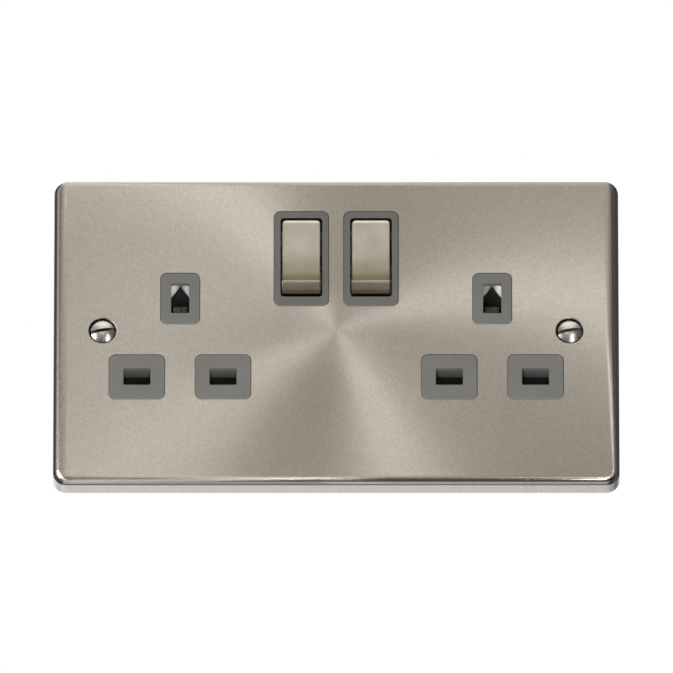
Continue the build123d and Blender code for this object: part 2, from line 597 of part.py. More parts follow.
def make_plunger(x):
    straight = PLUNGER_TIP - PLUNGER_RADIUS - PLUNGER_SEAT
    shank = Pos(0, 0, PLUNGER_SEAT + straight / 2) * Cylinder(PLUNGER_RADIUS, straight)
    tip = Pos(0, 0, PLUNGER_TIP - PLUNGER_RADIUS) * Sphere(PLUNGER_RADIUS)
    return post_frame(x) * (shank + tip)


def make_plunger_spring(x):
    radius = PLUNGER_RADIUS - PLUNGER_WIRE
    length = PLUNGER_SEAT - POST_BORE_FLOOR
    return post_frame(x) * Pos(0, 0, POST_BORE_FLOOR) * coil(radius, PLUNGER_WIRE, length, PLUNGER_COILS)


def make_moving_contact(x):
    """See-saw strip on the live bar's ridge, tipped to the off side."""
    middle = SWITCH_Z + (SEESAW_UP - SEESAW_DOWN) / 2
    blade = slab(
        rounded(x, middle, SEESAW_WIDTH, SEESAW_UP + SEESAW_DOWN, BUTTON_RADIUS), SEESAW_FRONT, SEESAW_BACK
    )
    blade -= rod_x(RIDGE_RADIUS + SEESAW_CLEARANCE, x, RIDGE_Y, SWITCH_Z, 2 * SEESAW_WIDTH)
    blade += rod_y(BUTTON_RADIUS, x, SWITCH_Z + BUTTON_OFFSET, SEESAW_BACK, SEESAW_BACK + BUTTON_THICKNESS)
    return Pos(0, RIDGE_Y, SWITCH_Z) * Rot(SEESAW_TILT, 0, 0) * Pos(0, -RIDGE_Y, -SWITCH_Z) * blade


def fixed_contact_front():
    """Depth at which the fixed button faces the moving one when the switch is on."""
    tilt = radians(SEESAW_TILT)
    face = SEESAW_BACK + BUTTON_THICKNESS - RIDGE_Y
    return RIDGE_Y + face * cos(tilt) + (BUTTON_OFFSET + BUTTON_RADIUS) * sin(tilt) + BUTTON_GAP


def fixed_contact_back():
    return fixed_contact_front() + BUTTON_THICKNESS + STRIP


def fork(gap, base_front, width):
    """Pin contact as a folded fork about the Y axis: a base, two leaves and flared lips."""
    half = gap / 2
    lip = CONTACT_MOUTH + CONTACT_LIP
    back = base_front + STRIP
    outer = [(back, 0), (back, half + STRIP), (lip, half + STRIP)]
    tip = [(CONTACT_MOUTH, half + STRIP + CONTACT_FLARE), (CONTACT_MOUTH, half + CONTACT_FLARE)]
    inner = [(lip, half), (base_front, half), (base_front, 0)]
    leaf = make_face(Polyline(*outer, *tip, *inner, close=True))
    return side_slab(leaf + mirror(leaf, about=Plane.XZ), 0, width)


def line_contact(x, z):
    return Pos(x, 0, z) * fork(LINE_PIN_THICKNESS - CONTACT_GRIP, LINE_BASE_FRONT, LINE_CONTACT_WIDTH)


def make_live_contact(side):
    """Live pin contact, its link round the earth contact, and the fixed switch contact."""
    pin_x = SOCKET_XS[side] + LIVE_OFFSET
    switch_x = SWITCH_XS[side]
    reach = SEESAW_WIDTH / 2 if pin_x < switch_x else -SEESAW_WIDTH / 2
    route = [(pin_x, LINE_PIN_Z), (pin_x, LIVE_LINK_TOP), (switch_x + reach, LIVE_LINK_TOP)]
    contact = line_contact(pin_x, LINE_PIN_Z) + strip(route, LIVE_LINK_WIDTH, LINE_BASE_FRONT)
    tab_front = fixed_contact_front() + BUTTON_THICKNESS
    top = LIVE_LINK_TOP + LIVE_LINK_WIDTH / 2
    foot = SWITCH_Z + BUTTON_OFFSET - BUTTON_RADIUS
    fold = slab(plain(switch_x, top - STRIP / 2, SEESAW_WIDTH, STRIP), tab_front, LINE_BASE_BACK)
    tab = slab(plain(switch_x, (top + foot) / 2, SEESAW_WIDTH, top - foot), tab_front, tab_front + STRIP)
    button = rod_y(BUTTON_RADIUS, switch_x, SWITCH_Z + BUTTON_OFFSET, fixed_contact_front(), tab_front)
    return contact + fold + tab + button


def make_live_bar():
    """Flat bar from the live terminal to the ridges that the see-saws rock on."""
    foot = TERMINAL_TOP - TERMINAL_LAP
    x = TERMINAL_XS["live"]
    reach = SWITCH_PITCH / 2 + LIVE_LINK_WIDTH / 2
    bar = strip([(x, foot), (x, LIVE_ARM_Z)], LIVE_LINK_WIDTH, LIVE_BAR_FRONT)
    bar += strip([(-reach, LIVE_ARM_Z), (reach, LIVE_ARM_Z)], LIVE_ARM_WIDTH, LIVE_BAR_FRONT)
    for switch_x in SWITCH_XS.values():
        top = SWITCH_Z + LIVE_TAB_RISE
        bar += strip([(switch_x, LIVE_ARM_Z), (switch_x, top)], LIVE_LINK_WIDTH, LIVE_BAR_FRONT)
        ridge = rod_x(RIDGE_RADIUS, switch_x, RIDGE_Y, SWITCH_Z, LIVE_LINK_WIDTH)
        bar += ridge & slab(plain(switch_x, SWITCH_Z, SEESAW_WIDTH, SEESAW_UP), SEESAW_FRONT, TERMINAL_FRONT)
    return bar


def make_neutral_bar():
    """Both neutral contacts, linked below the left live contact, with a tongue to the terminal."""
    left, right = (SOCKET_XS[side] - LIVE_OFFSET for side in ("left", "right"))
    route = [(left, LINE_PIN_Z), (left, NEUTRAL_LINK_Z), (right, NEUTRAL_LINK_Z), (right, LINE_PIN_Z)]
    bar = strip(route, NEUTRAL_LINK_WIDTH, LINE_BASE_FRONT)
    bar += line_contact(left, LINE_PIN_Z) + line_contact(right, LINE_PIN_Z)
    return bar + neutral_tongue()


def neutral_tongue():
    x = TERMINAL_XS["neutral"]
    foot = TERMINAL_TOP - NEUTRAL_TONGUE_DEPTH
    return strip([(x, foot), (x, NEUTRAL_LINK_Z)], NEUTRAL_TONGUE_WIDTH, LINE_BASE_FRONT)


def earth_contact(x):
    """Fork on its side with a folded frame above it, notched over the pin's path."""
    leaves = fork(EARTH_PIN_WIDTH - CONTACT_GRIP, EARTH_BASE_FRONT, EARTH_CONTACT_HEIGHT)
    contact = Pos(x, 0, EARTH_PIN_Z) * Rot(0, 90, 0) * leaves
    front = PARTING_Y + SHUTTER_GAP / 2
    half = EARTH_APERTURE_WIDTH / 2
    frame_half = EARTH_FRAME_WIDTH / 2
    for side in (-1, 1):
        rail = plain(x + side * (half + frame_half) / 2, EARTH_ROOF + STRIP / 2, frame_half - half, STRIP)
        contact += slab(rail, front, FLOOR_Y)
    base_top = EARTH_ROOF + STRIP
    base_height = base_top - EARTH_PIN_Z
    base = plain(x, EARTH_PIN_Z + base_height / 2, EARTH_FRAME_WIDTH, base_height)
    contact += slab(base, EARTH_BASE_FRONT, FLOOR_Y)
    apex = (x, EARTH_ROOF + EARTH_NOTCH_HEIGHT)
    notch = Polyline((x - half, EARTH_ROOF), (x + half, EARTH_ROOF), apex, close=True)
    flange = plain(x, EARTH_ROOF + EARTH_FRAME_RISE / 2, EARTH_FRAME_WIDTH, EARTH_FRAME_RISE)
    flange -= make_face(notch)
    return contact + slab(flange, front, front + STRIP)


def make_earth_bar():
    """Both earth contacts on one floor strip, with a drop to the two earth terminals."""
    left, right = SOCKET_XS["left"], SOCKET_XS["right"]
    bar = strip([(left, EARTH_LINK_Z), (right, EARTH_LINK_Z)], EARTH_LINK_WIDTH, EARTH_BASE_FRONT)
    bar += earth_contact(left) + earth_contact(right)
    inner, outer = TERMINAL_XS["earth_inner"], TERMINAL_XS["earth_outer"]
    foot = TERMINAL_TOP - TERMINAL_LAP / 2
    bar += strip([(EARTH_DROP_X, EARTH_LINK_Z), (EARTH_DROP_X, foot)], EARTH_DROP_WIDTH, EARTH_BASE_FRONT)
    reach = TERMINAL_WIDTH / 2
    return bar + strip([(inner - reach, foot), (outer + reach, foot)], TERMINAL_LAP, EARTH_BASE_FRONT)


def make_terminal(name):
    """Pillar terminal: a block with a wire bore from below and a clamp screw hole from behind."""
    x = TERMINAL_XS[name]
    middle = (TERMINAL_BOTTOM + TERMINAL_TOP) / 2
    block = slab(plain(x, middle, TERMINAL_WIDTH, TERMINAL_HEIGHT), TERMINAL_FRONT, EARTH_BASE_FRONT)
    block -= rod_z(WIRE_BORE_RADIUS, x, WIRE_Y, TERMINAL_BOTTOM, TERMINAL_BOTTOM + WIRE_BORE_DEPTH)
    radius = CLAMP_SCREW_RADIUS + CLAMP_SCREW_CLEARANCE
    block -= rod_y(radius, x, clamp_screw_z(), WIRE_Y, EARTH_BASE_FRONT)
    if name == "neutral":
        block -= neutral_tongue()
    return block


def slotted(screw, x, z, y_top, width, depth, turn):
    """Cut a screwdriver slot into the end of a screw at y_top, turned about its axis."""
    cut = Box(4 * OVERSIZE, 2 * depth, width)
    return screw - Pos(x, y_top, z) * Rot(0, turn, 0) * cut


def make_terminal_screws():
    screws = []
    head = BACK_Y - CLAMP_SCREW_SUNK
    tip = WIRE_Y + WIRE_BORE_RADIUS + CLAMP_TIP_GAP
    for x in TERMINAL_XS.values():
        screw = rod_y(CLAMP_SCREW_RADIUS, x, clamp_screw_z(), tip, head)
        screws.append(slotted(screw, x, clamp_screw_z(), head, SCREW_SLOT_WIDTH, SCREW_SLOT_DEPTH, 0))
    return screws


def make_assembly_screws():
    seat = assembly_seat_y()
    profile = [(0, seat + ASSEMBLY_HEAD_HEIGHT), (ASSEMBLY_HEAD_RADIUS, seat + ASSEMBLY_HEAD_HEIGHT)]
    profile += [(ASSEMBLY_HEAD_RADIUS, seat), (ASSEMBLY_SCREW_RADIUS, seat)]
    tip = seat - ASSEMBLY_SCREW_LENGTH
    profile += [(ASSEMBLY_SCREW_RADIUS, tip + ASSEMBLY_SCREW_RADIUS), (0, tip)]
    screws = []
    for x, z in BOSS_PLACES:
        screw = turned(profile, x, z)
        head = seat + ASSEMBLY_HEAD_HEIGHT
        screws.append(slotted(screw, x, z, head, SCREW_SLOT_WIDTH, SCREW_SLOT_DEPTH, 0))
    return screws


def make_fixing_screws():
    """Raised countersunk screws, with a plain neck under the head."""
    rim = FACE_Y + FIXING_HEAD_SUNK
    crown = rim - FIXING_HEAD_DOME
    neck_top = rim + FIXING_HEAD_RADIUS - FIXING_NECK_RADIUS
    neck_end = rim + FIXING_NECK_LENGTH
    tip = FACE_Y + FIXING_SCREW_LENGTH
    chamfer_end = FIXING_SCREW_RADIUS - FIXING_NECK_RADIUS
    outline = Polyline(
        (FIXING_HEAD_RADIUS, rim, 0),
        (FIXING_NECK_RADIUS, neck_top, 0),
        (FIXING_NECK_RADIUS, neck_end, 0),
        (FIXING_SCREW_RADIUS, neck_end + chamfer_end, 0),
        (FIXING_SCREW_RADIUS, tip - chamfer_end, 0),
        (FIXING_NECK_RADIUS, tip, 0),
        (0, tip, 0),
        (0, crown, 0),
    )
    dome_radius = (FIXING_HEAD_RADIUS**2 + FIXING_HEAD_DOME**2) / (2 * FIXING_HEAD_DOME)
    bulge = FIXING_HEAD_RADIUS / 2
    bulge_y = crown + dome_radius - sqrt(dome_radius**2 - bulge**2)
    outline += ThreePointArc((0, crown, 0), (bulge, bulge_y, 0), (FIXING_HEAD_RADIUS, rim, 0))
    screws = []
    for x in FIXING_XS:
        screw = Pos(x, 0, 0) * revolve(make_face(outline), axis=Axis.Y)
        screws.append(
            slotted(screw, x, 0, crown, FIXING_SLOT_WIDTH, FIXING_SLOT_DEPTH, -FIXING_SLOT_TURN)
        )
    return screws


def make_plate_nuts():
    nuts = []
    for x, z in STUD_PLACES:
        hexagon = RegularPolygon(NUT_WIDTH / 2, 6, major_radius=False)
        hexagon -= Circle(STUD_RADIUS + NUT_THREAD_CLEARANCE)
        nuts.append(slab(Pos(x, z) * hexagon, DECK_BACK, DECK_BACK + NUT_THICKNESS))
    return nuts


def shutter_foot():
    return LINE_PIN_Z - SHUTTER_PAD_HEIGHT / 2


def make_shutter(x):
    """Inverted T that closes both line apertures, with a ramp in the earth pin's path."""
    pad_half = LIVE_OFFSET + LINE_APERTURE_WIDTH / 2 + SHUTTER_PAD_OVERLAP
    foot = shutter_foot()
    ramp_top = EARTH_PIN_Z - EARTH_PIN_HEIGHT / 2 + SHUTTER_TRAVEL - SHUTTER_GAP * 2
    spine_top = EARTH_PIN_Z - EARTH_PIN_HEIGHT / 2
    spine = plain(x, (foot + spine_top) / 2, SHUTTER_SPINE_WIDTH, spine_top - foot)
    pads = plain(x, LINE_PIN_Z, 2 * pad_half, SHUTTER_PAD_HEIGHT)
    shutter = slab(spine + pads, SHUTTER_FRONT, SHUTTER_BACK)
    ramp_front = SHUTTER_FRONT - SHUTTER_RAMP_PROUD
    drop = SHUTTER_BACK - ramp_front
    ramp = Polyline(
        (SHUTTER_BACK, ramp_top),
        (ramp_front, ramp_top - drop),
        (ramp_front, ramp_top - 2 * drop),
        (SHUTTER_FRONT, ramp_top - 3 * drop),
        (SHUTTER_BACK, ramp_top - 3 * drop),
        close=True,
    )
    return shutter + side_slab(make_face(ramp), x, SHUTTER_RAMP_WIDTH)


def make_shutter_spring(x):
    length = shutter_foot() - SPRING_SEAT_Z
    spring = coil(SHUTTER_SPRING_RADIUS, SHUTTER_SPRING_WIRE, length, SHUTTER_SPRING_COILS)
    return Pos(x, shutter_spring_y(), SPRING_SEAT_Z) * spring


parts = {
    "front_plate": make_front_plate(),
    "front_moulding": make_front_moulding(),
    "rear_moulding": make_rear_moulding(),
    "live_bar": make_live_bar(),
    "neutral_bar": make_neutral_bar(),
    "earth_bar": make_earth_bar(),
    "terminal_screws": Compound(make_terminal_screws()),
    "assembly_screws": Compound(make_assembly_screws()),
    "fixing_screws": Compound(make_fixing_screws()),
    "plate_nuts": Compound(make_plate_nuts()),
}
for terminal in TERMINAL_XS:
    parts[f"terminal_{terminal}"] = make_terminal(terminal)
for side in ("left", "right"):
    switch_x = SWITCH_XS[side]
    parts[f"rocker_cap_{side}"] = make_rocker_cap(switch_x)
    parts[f"rocker_{side}"] = make_rocker(switch_x)
    parts[f"plunger_{side}"] = make_plunger(switch_x)
    parts[f"plunger_spring_{side}"] = make_plunger_spring(switch_x)
    parts[f"moving_contact_{side}"] = make_moving_contact(switch_x)
    parts[f"live_contact_{side}"] = make_live_contact(side)
    parts[f"shutter_{side}"] = make_shutter(SOCKET_XS[side])
    parts[f"shutter_spring_{side}"] = make_shutter_spring(SOCKET_XS[side])

os.makedirs("parts", exist_ok=True)
for name, shape in parts.items():
    export_step(shape, f"parts/{name}.step")
    print(name, "solids", len(shape.solids()), "volume", round(shape.volume, 1))
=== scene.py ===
# %% [markdown]
# # A double switched wall socket in satin metal
#
# The real object is a pressed metal plate with two flat-pin sockets, two metal rockers
# and two slotted screws. Behind it sits a moulded box with the switches, the shutters
# and the clamps for the wires.
#
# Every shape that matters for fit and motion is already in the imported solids, so this
# script loads them as they are and spends its effort on finishes, light and the few
# details that only the eye needs.

import json
from math import cos, pi, radians, sin

import bmesh
import bpy
from mathutils import Matrix, Vector

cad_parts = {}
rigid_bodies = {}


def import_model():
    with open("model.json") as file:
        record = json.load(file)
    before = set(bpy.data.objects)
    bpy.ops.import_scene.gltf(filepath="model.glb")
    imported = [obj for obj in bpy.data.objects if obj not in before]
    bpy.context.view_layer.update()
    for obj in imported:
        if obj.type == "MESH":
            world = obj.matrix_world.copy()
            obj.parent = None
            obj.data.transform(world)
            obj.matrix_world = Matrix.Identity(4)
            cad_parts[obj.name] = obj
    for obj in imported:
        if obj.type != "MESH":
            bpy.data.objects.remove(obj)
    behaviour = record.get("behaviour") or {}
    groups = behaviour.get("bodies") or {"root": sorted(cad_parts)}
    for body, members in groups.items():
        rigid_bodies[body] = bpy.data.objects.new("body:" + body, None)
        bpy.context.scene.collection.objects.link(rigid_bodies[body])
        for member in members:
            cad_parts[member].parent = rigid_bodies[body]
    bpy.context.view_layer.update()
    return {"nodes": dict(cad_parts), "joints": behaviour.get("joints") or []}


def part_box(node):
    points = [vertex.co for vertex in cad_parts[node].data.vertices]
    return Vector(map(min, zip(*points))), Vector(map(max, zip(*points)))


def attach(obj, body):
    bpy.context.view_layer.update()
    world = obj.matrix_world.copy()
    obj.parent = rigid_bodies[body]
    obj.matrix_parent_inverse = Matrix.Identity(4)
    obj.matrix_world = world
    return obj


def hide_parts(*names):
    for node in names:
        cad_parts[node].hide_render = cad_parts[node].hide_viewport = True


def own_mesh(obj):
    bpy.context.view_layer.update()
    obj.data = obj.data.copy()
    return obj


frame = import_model()
MM = 0.001

# %% [markdown]
# ## The camera
#
# The plate is seen from a little below, with almost no perspective: its left and right
# edges stay parallel. An orthographic camera would do, but a very long lens far away is
# what a product photographer uses, and it keeps a trace of real perspective.
#
# The lens follows from the distance and from the width that has to fit the frame.

# %% Camera below the plate, looking up
CAMERA_DROP = radians(24.7)
CAMERA_DISTANCE = 6.0
FARTHEST_SEEN = 50.0
VIEW_WIDTH = 173.9 * MM
SENSOR_WIDTH = 36.0
AIM_RIGHT = 0.08 * MM
AIM_UP = 1.21 * MM

towards_camera = Vector((0, -cos(CAMERA_DROP), -sin(CAMERA_DROP)))
picture_up = Vector((0, -sin(CAMERA_DROP), cos(CAMERA_DROP)))
aim = Vector((AIM_RIGHT, 0, 0)) + picture_up * AIM_UP

lens = bpy.data.cameras.new("long_lens")
lens.sensor_width = SENSOR_WIDTH
lens.lens = SENSOR_WIDTH * CAMERA_DISTANCE / VIEW_WIDTH
lens.clip_end = FARTHEST_SEEN
camera = bpy.data.objects.new("camera", lens)
camera.location = aim + towards_camera * CAMERA_DISTANCE
camera.rotation_mode = "QUATERNION"
camera.rotation_quaternion = (-towards_camera).to_track_quat("-Z", "Y")
bpy.context.collection.objects.link(camera)
bpy.context.scene.camera = camera
bpy.context.scene.view_settings.view_transform = "Standard"
print(f"camera {CAMERA_DISTANCE} m away with a {lens.lens:.0f} mm lens")

# %% [markdown]
# ## Helpers for node trees
#
# Materials, the surround and Geometry Nodes are all trees of nodes. One small helper adds
# a node, sets its fields, and fills or links its sockets. The others are built on it and
# each stand for one kind of node, so that the trees below read from top to bottom.


# %% Add one node to a tree
def add(tree, kind, fields=None, sockets=None):
    """Adds a node. A socket's value may be another node's output, which is then linked."""
    made = tree.nodes.new(kind)
    for field, value in (fields or {}).items():
        setattr(made, field, value)
    for socket, value in (sockets or {}).items():
        if isinstance(value, bpy.types.NodeSocket):
            tree.links.new(value, made.inputs[socket])
        else:
            made.inputs[socket].default_value = value
    return made


def shade(tree, kind, fields=None, sockets=None):
    return add(tree, "ShaderNode" + kind, fields, sockets)


# %% [markdown]
# ## Sums on numbers and vectors
#
# Most nodes in these trees do sums: they scale a place, compare it with a limit, or turn a
# distance into a factor between 0 and 1. The Map Range node does the last of these, and it
# also stops at both ends, which makes it the tool for soft borders.


# %% Numbers
def calc(tree, operation, first, second=0.0, third=0.0):
    """One sum. An operation on a single number takes no notice of the other two."""
    return shade(tree, "Math", {"operation": operation}, {0: first, 1: second, 2: third}).outputs[0]


def product(tree, first, *others):
    for other in others:
        first = calc(tree, "MULTIPLY", first, other)
    return first


def highest(tree, first, *others):
    for other in others:
        first = calc(tree, "MAXIMUM", first, other)
    return first


def ranged(tree, value, low, high, to_low, to_high):
    ends = {"From Min": low, "From Max": high, "To Min": to_low, "To Max": to_high}
    return shade(tree, "MapRange", None, {"Value": value, **ends}).outputs[0]


def band(tree, value, rise, fall):
    """Nothing, then one between the end of the rise and the start of the fall, then nothing."""
    return product(tree, ranged(tree, value, *rise, 0, 1), ranged(tree, value, *fall, 1, 0))


# %% Vectors, colours and mixes
def vector(tree, operation, first, second=(0, 0, 0), third=(0, 0, 0)):
    """One sum on vectors; a length or a dot product comes out as a number."""
    made = shade(tree, "VectorMath", {"operation": operation}, {0: first, 1: second, 2: third})
    is_number = operation in ("LENGTH", "DOT_PRODUCT")
    return made.outputs["Value" if is_number else "Vector"]


def parts_of(tree, value):
    return shade(tree, "SeparateXYZ", None, {0: value}).outputs


def joined(tree, **parts):
    return shade(tree, "CombineXYZ", None, parts).outputs[0]


def between(tree, factor, first, second):
    """Number between two numbers; the Mix node keeps its number sockets at 2, 3 and output 0."""
    return shade(tree, "Mix", None, {0: factor, 2: first, 3: second}).outputs[0]


def mixed(tree, factor, first, second):
    """Colour between two colours; the Mix node keeps its colour sockets at 6, 7 and output 2."""
    made = shade(tree, "Mix", {"data_type": "RGBA"}, {0: factor, 6: first, 7: second})
    return made.outputs[2]


def either(tree, factor, first, second):
    """Shader between two shader nodes."""
    return shade(tree, "MixShader", None, {0: factor, 1: first.outputs[0], 2: second.outputs[0]})


def grey(level):
    return (level, level, level, 1)


# %% [markdown]
# ## The surround
#
# Satin metal is mostly a picture of the room. In front of the plate the room is a slightly
# warm studio: brighter on the left than on the right, dim straight ahead, darkest towards
# the feet and bright at the ceiling. Behind the plate it is white, but only in the middle:
# it falls off fast to the sides, which gives the plate's sides their thin dark outline.
#
# A panorama photograph could be wrapped around the scene instead. Two ramps of brightness
# are easier to read and to change: one runs from left to right, and the other goes once
# round the plate, from behind it under the floor, past the camera and over the ceiling.

# %% Two ramps of brightness
LEFT_TO_RIGHT = (
    (-1.0, 0.5),
    (-0.88, 0.65),
    (-0.65, 0.42),
    (-0.4, 0.98),
    (0.0, 1.0),
    (0.3, 0.88),
    (0.45, 0.6),
    (0.6, 0.25),
    (1.0, 0.1),
)
ROUND_THE_PLATE = (
    (-180, 1.34),
    (-120, 1.25),
    (-90, 0.68),
    (-60, 0.12),
    (-35, 0.10),
    (-12, 0.24),
    (5, 0.46),
    (40, 0.45),
    (55, 0.75),
    (70, 1.15),
    (90, 1.28),
    (120, 1.25),
    (180, 1.34),
)


def brightness(tree, value, marks):
    """Brightness that runs straight from one mark to the next."""
    start, stop = marks[0][0], marks[-1][0]
    ramp = shade(tree, "ValToRGB", None, {0: ranged(tree, value, start, stop, 0, 1)})
    stops = ramp.color_ramp.elements
    while len(stops) < len(marks):
        stops.new(0.5)
    for mark, (place, level) in zip(stops, marks):
        mark.position = (place - start) / (stop - start)
        mark.color = grey(level)
    return ramp.outputs[0]


print(len(LEFT_TO_RIGHT), "marks from left to right,", len(ROUND_THE_PLATE), "round the plate")

# %% [markdown]
# ## Three kinds of room light
#
# The Light Path node says what kind of ray asks for light. The camera sees plain white
# paper. Glossy rays, which is what metal sends out, see the studio. All other rays get
# soft grey light, stronger behind the plate, so that matt plastic shows its own colour.

# %% Room light
ROOM_FILL = 0.14
BACK_FILL = 0.6
BACK_FILL_ENDS = (0, 0.3)
STUDIO_TINT = (1.0, 0.91, 0.82, 1)
TINT_ENDS = (-0.2, 0.2)
BEHIND_FALL = 7
BEHIND_ENDS = (-0.1, 0.2)
DIMMEST = 0.06

room = bpy.data.worlds.new("studio_room")
room.use_nodes = True
bpy.context.scene.world = room
tree = room.node_tree
tree.nodes.clear()
ray = shade(tree, "LightPath").outputs
way = parts_of(tree, shade(tree, "TexCoord").outputs["Generated"])
turn = calc(tree, "ARCTAN2", way["Z"], product(tree, way["Y"], -1))
upward = brightness(tree, calc(tree, "DEGREES", turn), ROUND_THE_PLATE)
across = brightness(tree, way["X"], LEFT_TO_RIGHT)
narrowed = calc(tree, "POWER", across, ranged(tree, way["Y"], *BEHIND_ENDS, 1, BEHIND_FALL))
level = product(tree, highest(tree, narrowed, DIMMEST), upward)
tint = mixed(tree, ranged(tree, way["Y"], *TINT_ENDS, 0, 1), STUDIO_TINT, grey(1))
studio = shade(tree, "Background", None, {"Color": tint, "Strength": level})
soft = ranged(tree, way["Y"], *BACK_FILL_ENDS, ROOM_FILL, BACK_FILL)
fill = shade(tree, "Background", None, {"Color": grey(1), "Strength": soft})
paper = shade(tree, "Background", None, {"Color": grey(1)})
lit = either(tree, ray["Is Glossy Ray"], fill, studio)
seen = either(tree, ray["Is Camera Ray"], lit, paper)
shade(tree, "OutputWorld", None, {"Surface": seen.outputs[0]})
print("room light made of", len(tree.nodes), "nodes")

# %% [markdown]
# ## The floor
#
# A wall socket hangs about 450 mm above the floor. The floor is a plain pale sheet that
# keeps the object's shadow. The camera stands lower than that sheet, so the sheet is made
# to let rays through from underneath: the Backfacing output of the Geometry node says on
# which side a ray arrives.

# %% Floor that is pale from above and open from below
FLOOR_COLOUR = grey(0.8)
FLOOR_GLOW = 0.75

pale_floor = bpy.data.materials.new("pale_floor")
pale_floor.use_nodes = True
tree = pale_floor.node_tree
tree.nodes.clear()
ray = shade(tree, "LightPath").outputs
paint = shade(tree, "BsdfDiffuse", None, {"Color": FLOOR_COLOUR})
white = shade(tree, "Emission", None, {"Color": grey(1)})
paper = either(tree, FLOOR_GLOW, paint, white)
shown = highest(tree, ray["Is Camera Ray"], ray["Is Glossy Ray"], ray["Is Transmission Ray"])
top = either(tree, shown, paint, paper)
under = shade(tree, "NewGeometry").outputs["Backfacing"]
sheet = either(tree, under, top, shade(tree, "BsdfTransparent"))
shade(tree, "OutputMaterial", None, {"Surface": sheet.outputs[0]})
print(pale_floor.name, "made of", len(tree.nodes), "nodes")

# %% [markdown]
# The sheet itself is one square face. It is hidden from metal, because the studio ramps
# already hold the light that comes from below.

# %% One square sheet
FLOOR_DROP = 0.45
FLOOR_SIZE = 12.0

half = FLOOR_SIZE / 2
corners = [(-half, -half), (half, -half), (half, half), (-half, half)]
floor_mesh = bpy.data.meshes.new("floor")
floor_mesh.from_pydata([(x, y, -FLOOR_DROP) for x, y in corners], [], [(0, 1, 2, 3)])
floor_mesh.materials.append(pale_floor)
floor = bpy.data.objects.new("floor", floor_mesh)
bpy.context.collection.objects.link(floor)
floor.visible_glossy = False
print(f"floor {FLOOR_DROP} m below the plate's middle")

# %% [markdown]
# ## The lamps
#
# Radially brushed metal shows each lamp as a pair of bright wedges that meet in the middle
# of the plate. Where the wedges fall depends on where the lamp stands: one to the left of
# the camera gives the pair from upper left to lower right, and one low on the right gives
# the pair that runs almost level. A wide box overhead draws the thin bright lines on upper
# edges, and a box far to the left lights the left rim.
#
# These four are for metal alone. Matt plastic needs light too, but more boxes would add
# more wedges, so the boxes in front and behind are hidden from glossy rays instead.


# %% Soft boxes
LAMP_COLOUR = (1.0, 1.0, 0.97)


def soft_box(name, side, rise, distance, width, height, radiance, for_metal=True):
    """Area lamp aimed at the plate; its power follows from its size and how bright its face is."""
    lamp = bpy.data.lights.new(name, "AREA")
    lamp.shape = "RECTANGLE"
    lamp.size = width
    lamp.size_y = height
    lamp.energy = radiance * pi * width * height
    lamp.color = LAMP_COLOUR
    box = bpy.data.objects.new(name, lamp)
    side, rise = radians(side), radians(rise)
    aimed = Vector((sin(side) * cos(rise), -cos(side) * cos(rise), sin(rise)))
    box.location = aimed * distance
    box.rotation_mode = "QUATERNION"
    box.rotation_quaternion = (-aimed).to_track_quat("-Z", "Y")
    box.visible_camera = False
    box.visible_glossy = for_metal
    box.visible_diffuse = not for_metal
    bpy.context.collection.objects.link(box)
    print(f"{name}: {lamp.energy:.2f} W")


soft_box("near_box", side=-10.4, rise=14.8, distance=0.569, width=0.087, height=0.099, radiance=3.4)
soft_box("low_right_box", side=20.8, rise=-20.5, distance=0.475, width=0.057, height=0.331, radiance=6.5)
soft_box("high_box", side=2.8, rise=46, distance=0.469, width=0.4, height=0.36, radiance=0.42)
soft_box("left_box", side=-61.7, rise=-2, distance=0.403, width=0.252, height=0.18, radiance=4.9)
soft_box(
    "front_box", side=-4, rise=-36, distance=0.55, width=0.2, height=0.29, radiance=18.5, for_metal=False
)
soft_box(
    "back_box", side=165, rise=22, distance=0.7, width=0.5, height=0.4, radiance=3.6, for_metal=False
)

# %% [markdown]
# ## Starting a finish
#
# Every finish below begins with the same Principled shader and reads Object coordinates.
# The objects sit at the origin, so Object coordinates are metres in the part's own frame:
# a noise scale of 1000 has features about a millimetre wide.


# %% What all finishes share
def start_finish(name):
    finish = bpy.data.materials.new(name)
    finish.use_nodes = True
    tree = finish.node_tree
    tree.nodes.clear()
    shader = shade(tree, "BsdfPrincipled")
    shade(tree, "OutputMaterial", None, {"Surface": shader.outputs[0]})
    spot = shade(tree, "TexCoord").outputs["Object"]
    return finish, tree, shader, spot


def clouds(tree, spot, scale, detail=3.0):
    sockets = {"Vector": spot, "Scale": scale, "Detail": detail}
    return shade(tree, "TexNoise", None, sockets).outputs[0]


def feed(tree, shader, socket, output):
    tree.links.new(output, shader.inputs[socket])


def roughened(tree, shader, heights, depth):
    """Bump from a height pattern whose full depth is given in metres."""
    bump = shade(tree, "Bump", None, {"Strength": 1.0, "Distance": depth, "Height": heights})
    feed(tree, shader, "Normal", bump.outputs[0])


# %% [markdown]
# ## Parts of a piece
#
# Some pieces are not the same all over: wells and pockets are darker than the face around
# them. Painting a mask by hand would tie the finish to one mesh. Here a helper marks a box
# and its mirror image on the other half of the plate, given by its centre and half size.


# %% A box and its mirror image
def within(tree, spot, centre, half):
    place = parts_of(tree, spot)
    folded = joined(tree, X=calc(tree, "ABSOLUTE", place["X"]), Y=place["Y"], Z=place["Z"])
    distance = vector(tree, "ABSOLUTE", vector(tree, "SUBTRACT", folded, centre))
    past = parts_of(tree, vector(tree, "SUBTRACT", distance, half))
    return calc(tree, "LESS_THAN", highest(tree, past["X"], past["Y"], past["Z"]), 0)


# %% [markdown]
# ## Where the screws are
#
# Two finishes need to know how far a point lies from the nearest screw: the plate's countersinks
# are darkened with painted shade, and the screw slots with dust and painted shade. Both screws
# are alike, so the place is measured from whichever screw is on the same side.

# %% Place around the nearest screw
SCREW_PITCH = 120.6 * MM
SLOT_TURN = radians(9)
# Near-black colour that masks mix in: painted shade in countersinks, recesses and depths, a painted dark
# line on the plate's seam, and dust with painted shade in the screw slots.
SHADE_AND_DUST = (0.016, 0.015, 0.014, 1)


